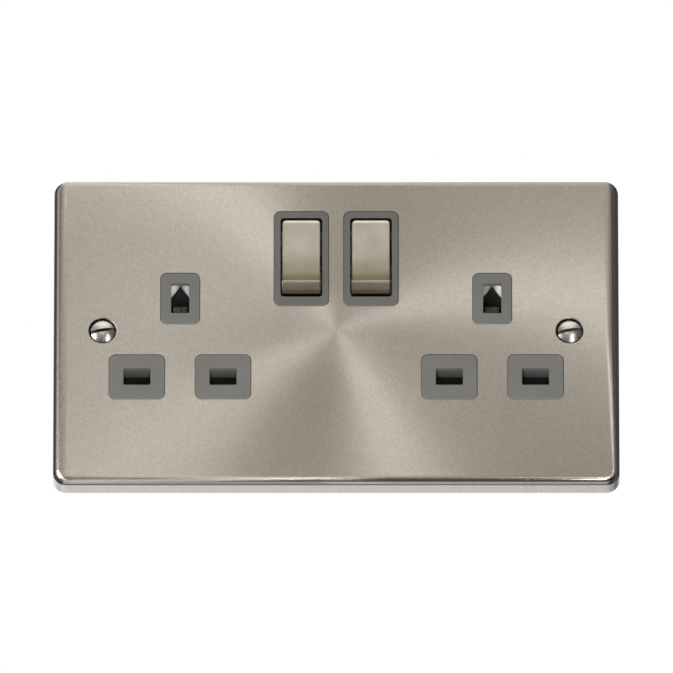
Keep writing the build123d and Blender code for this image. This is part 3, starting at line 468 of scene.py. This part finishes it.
def from_screw(tree, spot):
    """Distance from the nearest screw's axis, and distance from the middle of its slot."""
    place = parts_of(tree, spot)
    side = calc(tree, "SIGN", place["X"])
    along = calc(tree, "MULTIPLY_ADD", side, -SCREW_PITCH / 2, place["X"])
    flat = joined(tree, X=along, Z=place["Z"])
    across = vector(tree, "DOT_PRODUCT", flat, (-sin(SLOT_TURN), 0, cos(SLOT_TURN)))
    return vector(tree, "LENGTH", flat), calc(tree, "ABSOLUTE", across)


print(f"screws {SCREW_PITCH / MM:.1f} mm apart")

# %% [markdown]
# ## Strokes that fan out
#
# The plate is brushed with strokes that run outwards from its middle. A picture of streaks
# would only suit one size. A noise pattern that is squeezed in angle and drawn out in
# radius gives the same hair-fine streaks anywhere, and a second, even noise adds the grain
# of the metal under them.

# %% Hair-fine strokes and grain
STROKES_PER_RADIAN = 300
STROKE_CHANGES_PER_METRE = 160
STROKE_SHARE = 0.5
METAL_GRAIN = 1900


def fan_of_strokes(tree, spot, outward, reach):
    along = joined(tree, Y=product(tree, reach, STROKE_CHANGES_PER_METRE))
    squeezed = (STROKES_PER_RADIAN, 0, STROKES_PER_RADIAN)
    fanned = vector(tree, "MULTIPLY_ADD", outward, squeezed, along)
    hair = clouds(tree, fanned, scale=1.0, detail=2.0)
    grain = clouds(tree, spot, METAL_GRAIN, detail=2.0)
    return calc(tree, "MULTIPLY_ADD", hair, STROKE_SHARE, grain)


# %% [markdown]
# ## Along the plate's edges
#
# Pressing, polishing and handling leave a plate's edges different from its face. The face
# starts to turn well before the rounded edge, so a soft shoulder runs along both sides, and
# on the right it drifts outwards towards the bottom. The sides are smooth. The lower rim has a
# painted highlight on its left half and is smooth on its right half, the lower end of the right
# shoulder has a painted highlight too, and a painted dark line, standing in for a dark
# reflection, lies where the rim meets the lower side.
#
# All of these are marked by distance from the edges, which come from the imported plate.

# %% Distances from the plate's edges
plate_low, plate_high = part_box("front_plate")
SHOULDER_DRIFT = 1.5 * MM
DRIFT_HEIGHT = (-40 * MM, 0)
MIDDLE_BLEND = 1 * MM


def plate_edges(tree, spot):
    """Distances in from the sides, up from the lower edge and back from the front."""
    place = parts_of(tree, spot)
    right = ranged(tree, place["X"], 0, MIDDLE_BLEND, 0, 1)
    drift = product(tree, right, ranged(tree, place["Z"], *DRIFT_HEIGHT, SHOULDER_DRIFT, 0))
    straight = calc(tree, "SUBTRACT", plate_high.x, calc(tree, "ABSOLUTE", place["X"]))
    inset = calc(tree, "ADD", straight, drift)
    rise = calc(tree, "SUBTRACT", place["Z"], plate_low.z)
    depth = calc(tree, "SUBTRACT", place["Y"], plate_low.y)
    return inset, rise, depth


print(f"plate {(plate_high.x - plate_low.x) / MM:.1f} mm wide, {-plate_low.y / MM:.1f} mm deep")

# %% [markdown]
# Each zone is a factor from 0 to 1 with soft borders. A border is a pair of distances,
# between which the zone comes in or goes out.

# %% Zones along the edges
SIDE_BORDER = (3.2 * MM, 1.8 * MM)
RIM_DEPTH = (0.9 * MM, 1.5 * MM)
RIM_RISE = (1.8 * MM, 1.1 * MM)
HALF_WAY = (-5 * MM, 14 * MM)
LEFT_CORNER = (-72 * MM, -67 * MM)
CREST_IN = (3.6 * MM, 3.0 * MM)
CREST_OUT = (2.4 * MM, 2.0 * MM)
CREST_HEIGHT = (0, -25 * MM)
# Painted dark line where the rim meets the lower side, standing in for a dark reflection.
SEAM_RISE = (0.8 * MM, 0.5 * MM)
SEAM_IN = (0.95 * MM, 1.25 * MM)
SEAM_OUT = (1.65 * MM, 1.95 * MM)
SEAM_DARKNESS = 0.72


def edge_zones(tree, spot):
    """The zones by name: smooth sides, lower rim, its smooth half, painted highlights and the painted
    dark seam.
    """
    inset, rise, depth = plate_edges(tree, spot)
    place = parts_of(tree, spot)
    right = ranged(tree, place["X"], *HALF_WAY, 0, 1)
    left = band(tree, place["X"], LEFT_CORNER, HALF_WAY)
    rim = product(tree, ranged(tree, depth, *RIM_DEPTH, 1, 0), ranged(tree, rise, *RIM_RISE, 0, 1))
    crest = product(tree, band(tree, inset, CREST_IN, CREST_OUT), right)
    low_crest = product(tree, crest, ranged(tree, place["Z"], *CREST_HEIGHT, 0, 1))
    below = ranged(tree, rise, *SEAM_RISE, 0, SEAM_DARKNESS)
    return {
        "sides": ranged(tree, inset, *SIDE_BORDER, 0, 1),
        "rim": rim,
        "smooth rim": product(tree, rim, right),
        "painted_highlight": highest(tree, product(tree, rim, left), low_crest),
        "painted_seam_shade": product(tree, below, band(tree, depth, SEAM_IN, SEAM_OUT)),
    }


# %% [markdown]
# ## The way the face turns
#
# A pressed plate is never quite flat: this one bows slightly from side to side, which bends
# the wedges of light. The solid has to stay flat where the inserts pass through it, so the
# bow is added to the normal that the shader uses, together with the shoulders.

# %% Slightly bowed normal
BOW_PER_METRE = 0.78
SHOULDER_TURN = 0.3
SHOULDER_BORDER = (3.6 * MM, 1.4 * MM)


def bowed_normal(tree, spot):
    inset = plate_edges(tree, spot)[0]
    side = calc(tree, "SIGN", parts_of(tree, spot)["X"])
    shoulder = product(tree, side, ranged(tree, inset, *SHOULDER_BORDER, 0, SHOULDER_TURN))
    bow = vector(tree, "MULTIPLY", spot, (BOW_PER_METRE, 0, 0))
    turned = vector(tree, "ADD", bow, joined(tree, X=shoulder))
    facing = shade(tree, "NewGeometry").outputs["Normal"]
    return vector(tree, "NORMALIZE", vector(tree, "ADD", facing, turned))


# %% [markdown]
# ## Sunray satin on the front plate
#
# Brushed strokes scatter light across themselves and hardly at all along themselves, which
# gives the bright and dark wedges. So the shader's anisotropy is turned to follow the
# strokes: the tangent runs around the plate's middle, at right angles to them. In the very
# middle the strokes cross, and there the metal is less combed.

# %% Radially brushed metal
# Pale colour painted on the lower rim and the right shoulder as a highlight.
RIM_HIGHLIGHT = (0.97, 0.94, 0.89, 1)
COUNTERSINK_BORDER = (3.45 * MM, 3.6 * MM)
STREAK_ENDS = (0.5, 1.0)
SATIN_ROUGHNESS = (0.435, 0.415)
RIM_ROUGHNESS = 0.1
SIDE_ROUGHNESS = 0.22
COMBED = 0.895
COMBED_RIM = 0.985
CROSSED = 0.6
CROSSED_RADIUS = 14 * MM


def sunray(name, dark, pale):
    finish, tree, shader, spot = start_finish(name)
    flat = vector(tree, "MULTIPLY", spot, (1, 0, 1))
    reach = vector(tree, "LENGTH", flat)
    streak = fan_of_strokes(tree, spot, vector(tree, "NORMALIZE", flat), reach)
    zones = edge_zones(tree, spot)

    brushed = mixed(tree, ranged(tree, streak, *STREAK_ENDS, 0, 1), dark, pale)
    # Painted shade in the countersinks. Below it, painted highlights on the lower rim and shoulder, and
    # a painted dark line on the seam.
    countersink_shade = ranged(tree, from_screw(tree, spot)[0], *COUNTERSINK_BORDER, 1, 0)
    with_painted_marks = mixed(tree, zones["painted_highlight"], mixed(tree, countersink_shade, brushed, SHADE_AND_DUST), RIM_HIGHLIGHT)
    feed(tree, shader, "Base Color", mixed(tree, zones["painted_seam_shade"], with_painted_marks, SHADE_AND_DUST))

    satin = ranged(tree, streak, *STREAK_ENDS, *SATIN_ROUGHNESS)
    worn_rim = between(tree, zones["smooth rim"], satin, RIM_ROUGHNESS)
    feed(tree, shader, "Roughness", between(tree, zones["sides"], worn_rim, SIDE_ROUGHNESS))

    face = ranged(tree, reach, 0, CROSSED_RADIUS, CROSSED, COMBED)
    combed = between(tree, zones["rim"], face, COMBED_RIM)
    uncombed = highest(tree, zones["sides"], zones["smooth rim"])
    feed(tree, shader, "Anisotropic", between(tree, uncombed, combed, 0.0))
    feed(tree, shader, "Tangent", vector(tree, "CROSS_PRODUCT", flat, (0, 1, 0)))
    feed(tree, shader, "Normal", bowed_normal(tree, spot))
    shader.inputs["Metallic"].default_value = 1.0
    return finish


satin_metal = sunray("sunray_satin_nickel", (0.535, 0.505, 0.46, 1), (0.655, 0.62, 0.565, 1))
print(satin_metal.name, "has", len(satin_metal.node_tree.nodes), "nodes")

# %% [markdown]
# ## Metal with straight strokes or none
#
# The other metal parts are brushed straight, like the rocker caps, or not at all, like the
# screws and springs. One function covers them: noise that is stretched along the stroke, or
# left round where the metal has no stroke. A slower noise makes the colour drift, as thin
# tarnish does, and a mask can mix in painted shade and reflections, with dust as well in the screw
# slots.

# %% Plain metal
TARNISH_SCALE = 160
TARNISH_ENDS = (0.35, 0.65)
STROKE_ENDS = (0.3, 0.7)
STROKE_SHINE = 0.35
STROKE_DEPTH = 1.5e-6
EVEN = (1, 1, 1)
UPRIGHT = (1, 1, 0.03)


def plain_metal(
    name, dark, pale, smooth, rough, scale, stretch=EVEN, metallic=1.0, shade_and_wear=None, shade_and_wear_colour=SHADE_AND_DUST
):
    finish, tree, shader, spot = start_finish(name)
    strokes = clouds(tree, vector(tree, "MULTIPLY", spot, stretch), scale)
    tarnish = clouds(tree, spot, TARNISH_SCALE, detail=4.0)
    toned = mixed(tree, ranged(tree, tarnish, *TARNISH_ENDS, 0, 1), dark, pale)
    colour = mixed(tree, ranged(tree, strokes, *STROKE_ENDS, 0, STROKE_SHINE), toned, pale)
    # A mask may mix in painted shade and reflections on the caps and in depths, or dust and painted
    # shade in the screw slots.
    if shade_and_wear:
        colour = mixed(tree, shade_and_wear(tree, spot), colour, shade_and_wear_colour)
    feed(tree, shader, "Base Color", colour)
    feed(tree, shader, "Roughness", ranged(tree, strokes, *STROKE_ENDS, rough, smooth))
    roughened(tree, shader, strokes, STROKE_DEPTH)
    shader.inputs["Metallic"].default_value = metallic
    return finish


zinc_steel = plain_metal(
    "zinc_steel",
    dark=(0.48, 0.50, 0.53, 1),
    pale=(0.60, 0.62, 0.64, 1),
    smooth=0.28,
    rough=0.42,
    scale=1800,
)
brass = plain_metal(
    "strip_brass",
    dark=(0.62, 0.42, 0.16, 1),
    pale=(0.78, 0.58, 0.26, 1),
    smooth=0.22,
    rough=0.38,
    scale=1500,
)
print("plain metals:", zinc_steel.name, brass.name)

# %% [markdown]
# ## Rocker caps
#
# The caps are brushed in upright strokes and are a little warmer than the plate. Painted shade
# darkens the hollow above the ridge and the toe below it, less so the ridge and the face, and the
# top edge is left bright as a painted highlight. A ramp over height, in millimetres, holds these tones.

# %% Upright satin with painted shade and highlight
# Warm dark tint for the caps' painted shade; each mark pairs a height in millimetres with its share.
CAP_SHADE_TINT = (0.12, 0.095, 0.035, 1)
CAP_TOE = ((9.4, 0.9), (10.7, 0.87), (11.05, 0.67), (11.8, 0.66), (12.2, 0.4))
CAP_HOLLOW = ((12.8, 0.74), (14.8, 0.88), (17, 0.77), (18.8, 0.63), (20.5, 0.52))
CAP_FLAT = ((23.5, 0.44), (30.45, 0.43), (30.7, 0), (32, 0))


def cap_painted_shade(tree, spot):
    """How much painted shade a cap gets, from its toe past the ridge and the hollow to its top edge,
    which gets none and is left as a painted highlight.
    """
    marks = [(z * MM, tone) for z, tone in CAP_TOE + CAP_HOLLOW + CAP_FLAT]
    return brightness(tree, parts_of(tree, spot)["Z"], marks)


cap_metal = plain_metal(
    "upright_satin_cap",
    dark=(0.82, 0.79, 0.70, 1),
    pale=(0.99, 0.96, 0.89, 1),
    smooth=0.34,
    rough=0.42,
    scale=5000,
    stretch=UPRIGHT,
    shade_and_wear=cap_painted_shade,
    shade_and_wear_colour=CAP_SHADE_TINT,
)
print(cap_metal.name, "has", len(cap_metal.node_tree.nodes), "nodes")

# %% [markdown]
# ## Screws with dust and painted shade in their slots
#
# The two fixing screws are polished, but years of dust sit in their slots, together with painted
# shade. The slot is a cut in the imported head, so the mask only has to darken the strip between
# its walls, and only on the head, not on the shank behind it.

# %% Polished screws
SLOT_WIDTH = 0.9 * MM
SLOT_BORDER = (SLOT_WIDTH * 0.5, SLOT_WIDTH * 0.51)
SLOT_DARKNESS = 0.85
HEAD_BACK = -5.5 * MM


def slot_dust_and_shade(tree, spot):
    strip = ranged(tree, from_screw(tree, spot)[1], *SLOT_BORDER, SLOT_DARKNESS, 0)
    return product(tree, strip, calc(tree, "LESS_THAN", parts_of(tree, spot)["Y"], HEAD_BACK))


polished_screw = plain_metal(
    "polished_screw",
    dark=(0.66, 0.65, 0.62, 1),
    pale=(0.76, 0.75, 0.72, 1),
    smooth=0.24,
    rough=0.32,
    scale=2500,
    shade_and_wear=slot_dust_and_shade,
)
print(polished_screw.name, "has a slot", SLOT_WIDTH / MM, "mm wide")

# %% [markdown]
# ## Plated earth contacts
#
# Behind each earth opening a plated flange shows as two bright corners. Polished metal deep
# in a hole would only mirror the hole, so the plating is made pale and nearly matt. Its
# middle, and the bar deep behind it, are darkened with painted shade.

# %% Bright plating, with painted shade in the depth
SOCKET_X = 40.3 * MM
BAR_DEPTH = (2.2 * MM, 2.6 * MM)
BAR_DARKNESS = 0.97
FLANGE_MIDDLE = (0.1 * MM, 1.6 * MM)
FLANGE_DARKNESS = 0.9


def flange_painted_shade(tree, spot):
    place = parts_of(tree, spot)
    deep = ranged(tree, place["Y"], *BAR_DEPTH, 0, BAR_DARKNESS)
    aside = calc(tree, "SUBTRACT", calc(tree, "ABSOLUTE", place["X"]), SOCKET_X)
    middle = ranged(tree, calc(tree, "ABSOLUTE", aside), *FLANGE_MIDDLE, FLANGE_DARKNESS, 0)
    return highest(tree, deep, middle)


plated_brass = plain_metal(
    "bright_plated_brass",
    dark=(0.93, 0.93, 0.92, 1),
    pale=(0.97, 0.97, 0.96, 1),
    smooth=0.42,
    rough=0.52,
    scale=1500,
    metallic=0.1,
    shade_and_wear=flange_painted_shade,
)
print(plated_brass.name, "has", len(plated_brass.node_tree.nodes), "nodes")

# %% [markdown]
# ## Moulded plastics
#
# Moulded parts take the fine, even grain of a spark-eroded mould. They differ in colour,
# gloss and grain, and share one recipe: one noise for the grain, which roughens the surface
# and varies its gloss, and a much slower one for the drift of the colour.

# %% Plastic with a mould's grain
COLOUR_DRIFT = 90
GRAIN_ENDS = (0.3, 0.7)


def moulded(name, dark, pale, smooth, rough, grain, depth, shade_and_wear=None, shade_and_wear_colour=SHADE_AND_DUST):
    finish, tree, shader, spot = start_finish(name)
    drift = clouds(tree, spot, COLOUR_DRIFT, detail=2.0)
    pits = clouds(tree, spot, grain, detail=2.0)
    colour = mixed(tree, ranged(tree, drift, *GRAIN_ENDS, 0, 1), dark, pale)
    # A mask may mix in painted shade, or pale scratches on the shutters.
    if shade_and_wear:
        colour = mixed(tree, shade_and_wear(tree, spot), colour, shade_and_wear_colour)
    feed(tree, shader, "Base Color", colour)
    feed(tree, shader, "Roughness", ranged(tree, pits, *GRAIN_ENDS, smooth, rough))
    roughened(tree, shader, pits, depth)
    return finish


print(f"mould grain on a colour drift about {1000 / COLOUR_DRIFT:.0f} mm wide")

# %% [markdown]
# Black plastic looks grey if it reflects as much as other plastics do, so its reflection is
# turned down. Nylon lets some light in and scatters it, which the subsurface sockets do.

# %% Black rockers and milky plungers
BLACK_REFLECTION = 0.2
NYLON_MILKINESS = 0.3
NYLON_LIGHT_DEPTH = 1.5 * MM


def sockets_of(finish):
    return finish.node_tree.nodes["Principled BSDF"].inputs


black_plastic = moulded(
    "black_insert",
    dark=grey(0.005),
    pale=grey(0.008),
    smooth=0.45,
    rough=0.60,
    grain=3000,
    depth=6e-6,
)
sockets_of(black_plastic)["Specular IOR Level"].default_value = BLACK_REFLECTION
natural_nylon = moulded(
    "natural_nylon",
    dark=(0.70, 0.67, 0.58, 1),
    pale=(0.76, 0.73, 0.65, 1),
    smooth=0.30,
    rough=0.42,
    grain=2500,
    depth=5e-6,
)
sockets_of(natural_nylon)["Subsurface Weight"].default_value = NYLON_MILKINESS
sockets_of(natural_nylon)["Subsurface Scale"].default_value = NYLON_LIGHT_DEPTH
print("plastics:", black_plastic.name, natural_nylon.name)

# %% [markdown]
# ## Grey inserts
#
# The inserts are a neutral mid grey. Light hardly reaches down the walls of the pin openings
# and the wells round the rockers, so painted shade darkens the walls with depth and turns the
# wells nearly black. The bezels round the rockers are a shade darker than the rest.

# %% Grey with painted shade in its depths
WALL_DEPTH = (-6.0 * MM, -4.0 * MM)
WALL_DARKNESS = 0.38
BEZEL_DARKNESS = 0.2
ROCKER_WELL = ((9.0 * MM, -2.6 * MM, 20.8 * MM), (5.42 * MM, 4.07 * MM, 11.22 * MM))
ROCKER_BEZEL = ((9.0 * MM, -6.0 * MM, 20.8 * MM), (8.0 * MM, 4.0 * MM, 14.0 * MM))


def recess_shade_and_bezel_tone(tree, spot):
    walls = ranged(tree, parts_of(tree, spot)["Y"], *WALL_DEPTH, 0, WALL_DARKNESS)
    bezels = product(tree, within(tree, spot, *ROCKER_BEZEL), BEZEL_DARKNESS)
    return highest(tree, walls, bezels, within(tree, spot, *ROCKER_WELL))


grey_plastic = moulded(
    "grey_insert",
    dark=(0.139, 0.138, 0.130, 1),
    pale=(0.154, 0.153, 0.144, 1),
    smooth=0.42,
    rough=0.52,
    grain=3500,
    depth=6e-6,
    shade_and_wear=recess_shade_and_bezel_tone,
)
print(grey_plastic.name, "has", len(grey_plastic.node_tree.nodes), "nodes")

# %% [markdown]
# ## White box and scuffed shutters
#
# The box behind is white. Inside its pocket behind the earth opening it is darkened with
# painted shade, so that the opening looks as deep as it is. The shutters are black, with pale
# upright scratches on the ramp where earth pins have pushed them aside: a noise that is
# stretched upwards.

# %% White plastic and scratched black plastic
EARTH_POCKET = ((SOCKET_X, 10.0 * MM, 19.0 * MM), (9.0 * MM, 8.5 * MM, 13.0 * MM))
POCKET_DARKNESS = 0.9
PIN_RAMP = ((SOCKET_X, 2.0 * MM, 11.0 * MM), (2.4 * MM, 4.0 * MM, 5.0 * MM))
SCRATCH_SCALE = 900
SCRATCH_STRETCH = (1, 0.1, 0.1)
SCRATCH_ENDS = (0.35, 0.65)
LEAST_SCRATCHED = 0.2


def pocket_painted_shade(tree, spot):
    return product(tree, within(tree, spot, *EARTH_POCKET), POCKET_DARKNESS)


def scuffed(tree, spot):
    hair = clouds(tree, vector(tree, "MULTIPLY", spot, SCRATCH_STRETCH), SCRATCH_SCALE)
    scratches = ranged(tree, hair, *SCRATCH_ENDS, LEAST_SCRATCHED, 1)
    return product(tree, within(tree, spot, *PIN_RAMP), scratches)


white_plastic = moulded(
    "white_box",
    dark=(0.785, 0.775, 0.75, 1),
    pale=(0.805, 0.795, 0.772, 1),
    smooth=0.34,
    rough=0.46,
    grain=2500,
    depth=8e-6,
    shade_and_wear=pocket_painted_shade,
)
scuffed_plastic = moulded(
    "scuffed_shutter",
    dark=grey(0.008),
    pale=grey(0.012),
    smooth=0.45,
    rough=0.60,
    grain=3000,
    depth=6e-6,
    shade_and_wear=scuffed,
    shade_and_wear_colour=grey(0.5),
)
sockets_of(scuffed_plastic)["Specular IOR Level"].default_value = BLACK_REFLECTION
print("plastics:", white_plastic.name, scuffed_plastic.name)

# %% [markdown]
# ## Dressing the solids
#
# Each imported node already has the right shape, so it only changes its finish. The left and
# right halves of the switches and shutters share one entry.

# %% Give every node its finish
finish_of = {
    "front_plate": satin_metal,
    "front_moulding": grey_plastic,
    "rear_moulding": white_plastic,
    "live_bar": brass,
    "neutral_bar": brass,
    "earth_bar": plated_brass,
    "terminal_neutral": brass,
    "terminal_live": brass,
    "terminal_earth_inner": brass,
    "terminal_earth_outer": brass,
    "terminal_screws": zinc_steel,
    "assembly_screws": zinc_steel,
    "fixing_screws": polished_screw,
    "plate_nuts": zinc_steel,
}
paired = {
    "rocker_cap": cap_metal,
    "rocker": black_plastic,
    "plunger": natural_nylon,
    "plunger_spring": zinc_steel,
    "moving_contact": brass,
    "live_contact": brass,
    "shutter": scuffed_plastic,
    "shutter_spring": zinc_steel,
}
for piece, finish in paired.items():
    finish_of[piece + "_left"] = finish
    finish_of[piece + "_right"] = finish

for name, solid in frame["nodes"].items():
    solid.data.materials.clear()
    solid.data.materials.append(finish_of[name])
print(len(frame["nodes"]), "nodes dressed")

# %% [markdown]
# ## Threads on the two fixing screws
#
# The solids have smooth shanks. The real screws carry a fine machine thread, which shows
# from the back. A bump pattern would keep a smooth outline, and a swept profile is hard to
# close. A thread repeats along a path, so Geometry Nodes make it: a flat grid is rolled up
# into a tube, and the tube's radius rises and falls once per pitch as it winds.
#
# The sizes are inputs of the tree, so the same tree would make any other screw.

# %% Inputs of the thread tree
thread_tree = bpy.data.node_groups.new("threaded_shank", "GeometryNodeTree")
thread_face = thread_tree.interface
thread_inputs = {
    "Axes": "Geometry",
    "Crest": "Float",
    "Root": "Float",
    "Pitch": "Float",
    "Start": "Float",
    "End": "Float",
    "Rows": "Int",
    "Finish": "Material",
}
for name, kind in thread_inputs.items():
    thread_face.new_socket(name, in_out="INPUT", socket_type="NodeSocket" + kind)
thread_face.new_socket("Shanks", in_out="OUTPUT", socket_type="NodeSocketGeometry")
print("thread tree takes", list(thread_inputs))

# %% [markdown]
# Along the grid's length the radius follows a saw-tooth of the pitch, shifted by the turn,
# and fades to the root at both ends. The first and last row close onto the axis, and
# merging by distance seals the seam where the roll meets itself.

# %% Roll a grid into a threaded shank
SIDES = 28
END_ROW = 1e-5
SEAL_DISTANCE = 1e-6


def geo(kind, sockets=None):
    return add(thread_tree, "GeometryNode" + kind, None, sockets).outputs


def reckon(operation, first, second=0.0):
    return calc(thread_tree, operation, first, second)


size = add(thread_tree, "NodeGroupInput").outputs
columns = {"Size X": 1.0, "Size Y": 1.0, "Vertices X": SIDES + 1, "Vertices Y": size["Rows"]}
grid = geo("MeshGrid", columns)["Mesh"]
where = parts_of(thread_tree, geo("InputPosition")[0])
turn = reckon("ADD", where["X"], 0.5)
share = reckon("ADD", where["Y"], 0.5)
length = reckon("SUBTRACT", size["End"], size["Start"])
run = reckon("MULTIPLY", share, length)
winding = reckon("FRACT", reckon("SUBTRACT", reckon("DIVIDE", run, size["Pitch"]), turn))
flank = reckon("PINGPONG", reckon("MULTIPLY", winding, 2.0), 1.0)
nearest_end = reckon("MINIMUM", run, reckon("SUBTRACT", length, run))
fade = reckon("MINIMUM", reckon("DIVIDE", nearest_end, size["Pitch"]), 1.0)
tooth = product(thread_tree, reckon("SUBTRACT", size["Crest"], size["Root"]), flank, fade)
past_start = reckon("GREATER_THAN", share, END_ROW)
before_end = reckon("LESS_THAN", share, 1.0 - END_ROW)
radius = product(thread_tree, reckon("ADD", size["Root"], tooth), past_start, before_end)
angle = reckon("MULTIPLY", turn, 2 * pi)
place = joined(
    thread_tree,
    X=reckon("MULTIPLY", radius, reckon("COSINE", angle)),
    Y=reckon("ADD", size["Start"], run),
    Z=reckon("MULTIPLY", radius, reckon("SINE", angle)),
)
tube = geo("SetPosition", {"Geometry": grid, "Position": place})[0]
sealed = geo("MergeByDistance", {"Geometry": tube, "Distance": SEAL_DISTANCE})[0]
copies = geo("InstanceOnPoints", {"Points": size["Axes"], "Instance": sealed})[0]
real = geo("RealizeInstances", {"Geometry": copies})[0]
done = geo("SetMaterial", {"Geometry": real, "Material": size["Finish"]})[0]
add(thread_tree, "NodeGroupOutput", None, {"Shanks": done})
print("thread tree has", len(thread_tree.nodes), "nodes")

# %% [markdown]
# The tree needs one point per screw, on the screw's axis. The inputs are set by their
# identifiers before the object is first evaluated, and the result becomes a plain mesh.

# %% Run the tree on the two screw axes
THREAD_PITCH = 0.6 * MM
THREAD_CREST = 1.75 * MM
THREAD_ROOT = 1.38 * MM
NECK_END = -1.05 * MM
NECK_OVERLAP = 0.3 * MM
ROWS_PER_PITCH = 7
screw_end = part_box("fixing_screws")[1].y
screw_x = SCREW_PITCH / 2

axes = bpy.data.meshes.new("screw_axes")
axes.from_pydata([(-screw_x, 0, 0), (screw_x, 0, 0)], [], [])
maker = bpy.data.objects.new("thread_maker", axes)
bpy.context.collection.objects.link(maker)
roll = maker.modifiers.new("thread", "NODES")
roll.node_group = thread_tree
wanted = {
    "Crest": THREAD_CREST,
    "Root": THREAD_ROOT,
    "Pitch": THREAD_PITCH,
    "Start": NECK_END - NECK_OVERLAP,
    "End": screw_end,
    "Rows": int((screw_end - NECK_END) / THREAD_PITCH * ROWS_PER_PITCH),
    "Finish": polished_screw,
}
for item in thread_face.items_tree:
    if item.in_out == "INPUT" and item.name in wanted:
        roll[item.identifier] = wanted[item.name]
evaluated = maker.evaluated_get(bpy.context.evaluated_depsgraph_get())
shank_mesh = bpy.data.meshes.new_from_object(evaluated)
bpy.data.objects.remove(maker)
print("threads:", len(shank_mesh.polygons), "faces")

# %% [markdown]
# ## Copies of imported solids
#
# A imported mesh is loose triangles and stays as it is. A copy that is to be cut or shaded
# smoothly first has its corners merged, and then turns sharp only at real edges.

# %% Merge a copy and smooth its rounds
MERGE_DISTANCE = 1e-7
SHARP_TURN = radians(30)


def merged_copy(node):
    copied = bmesh.new()
    copied.from_mesh(frame["nodes"][node].data)
    bmesh.ops.remove_doubles(copied, verts=copied.verts, dist=MERGE_DISTANCE)
    return copied


def smooth_rounds(shape):
    for edge in shape.edges:
        edge.smooth = edge.calc_face_angle(0) < SHARP_TURN
    for side in shape.faces:
        side.smooth = True


# %% [markdown]
# ## Heads on the threaded shanks
#
# The screw heads are right in the solid. So a copy is cut off behind the neck, its holes
# are filled, and the threaded shanks are added to it. The heads stay exactly where they are.

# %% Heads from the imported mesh, joined to the threaded shanks
work = merged_copy("fixing_screws")
everything = work.verts[:] + work.edges[:] + work.faces[:]
bmesh.ops.bisect_plane(
    work, geom=everything, plane_co=(0, NECK_END, 0), plane_no=(0, 1, 0), clear_outer=True
)
rims = [edge for edge in work.edges if edge.is_boundary]
bmesh.ops.holes_fill(work, edges=rims, sides=0)
smooth_rounds(work)
work.from_mesh(shank_mesh)
screw_mesh = bpy.data.meshes.new("threaded_fixing_screws")
work.to_mesh(screw_mesh)
work.free()
screw_mesh.materials.append(polished_screw)
for polygon in screw_mesh.polygons:
    polygon.material_index = 0
threaded = bpy.data.objects.new("threaded_fixing_screws", screw_mesh)
bpy.context.collection.objects.link(threaded)
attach(threaded, "socket")
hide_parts("fixing_screws")
print("fixing screws:", len(screw_mesh.polygons), "faces")

# %% [markdown]
# ## Springs as stiff copies
#
# Each shutter stands on a coil spring, and a smaller one pushes each plunger out of its
# rocker. A stiff coil would pass through the piece that presses on it. A copy of each packed
# coil is given to the body that its joint hangs from, and its length along the joint's axis is
# measured, but the copy does not shorten. The joint's axis points from the moving end to the fixed one.

# %% Four coils on the bodies their joints hang from
for joint in frame["joints"]:
    for pressed in joint.get("deforming_nodes", []):
        name = "coil_of_" + pressed["node"]
        wound = merged_copy(pressed["node"])
        smooth_rounds(wound)
        coil = bpy.data.meshes.new(name)
        wound.to_mesh(coil)
        wound.free()
        coil.materials.append(zinc_steel)
        way = Vector(joint["axis"])
        reach = [vertex.co.dot(way) for vertex in coil.vertices]
        length = max(reach) - min(reach)
        spring = bpy.data.objects.new(name, coil)
        bpy.context.collection.objects.link(spring)
        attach(spring, joint["parent"])
        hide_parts(pressed["node"])
        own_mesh(spring)

# %% [markdown]
# ## Terminal letters on the back
#
# An electrician finds the terminals by raised letters in the moulding: N, L and E are on
# every such socket. Text is turned into a mesh, stood upright facing backwards and set a
# little into the wall it belongs to.

# %% Raised letters
LETTER_SIZE = 4.2 * MM
LETTER_PROUD = 0.25 * MM
LETTER_SUNK = 0.1 * MM
LETTER_BEVEL = 0.05 * MM
LETTER_RISE = 2.2 * MM
letters = {
    "letter_neutral": ("N", "terminal_neutral"),
    "letter_live": ("L", "terminal_live"),
    "letter_earth_inner": ("E", "terminal_earth_inner"),
    "letter_earth_outer": ("E", "terminal_earth_outer"),
}
letter_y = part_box("rear_moulding")[1].y + LETTER_PROUD / 2 - LETTER_SUNK / 2
facing_back = Matrix(((-1, 0, 0), (0, 0, 1), (0, 1, 0))).to_4x4()
for name, (sign, terminal) in letters.items():
    text = bpy.data.curves.new(name + "_text", "FONT")
    text.body = sign
    text.size = LETTER_SIZE
    text.extrude = (LETTER_PROUD + LETTER_SUNK) / 2
    text.bevel_depth = LETTER_BEVEL
    text.align_x = "CENTER"
    text.align_y = "CENTER"
    pattern = bpy.data.objects.new(name + "_text", text)
    bpy.context.collection.objects.link(pattern)
    evaluated = pattern.evaluated_get(bpy.context.evaluated_depsgraph_get())
    mesh = bpy.data.meshes.new_from_object(evaluated)
    bpy.data.objects.remove(pattern)
    low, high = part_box(terminal)
    spot = Vector(((low.x + high.x) / 2, letter_y, high.z + LETTER_RISE))
    mesh.transform(Matrix.Translation(spot) @ facing_back)
    mesh.materials.clear()
    mesh.materials.append(white_plastic)
    letter = bpy.data.objects.new(name, mesh)
    bpy.context.collection.objects.link(letter)
    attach(letter, "socket")
print(len(letters), "letters on the back")
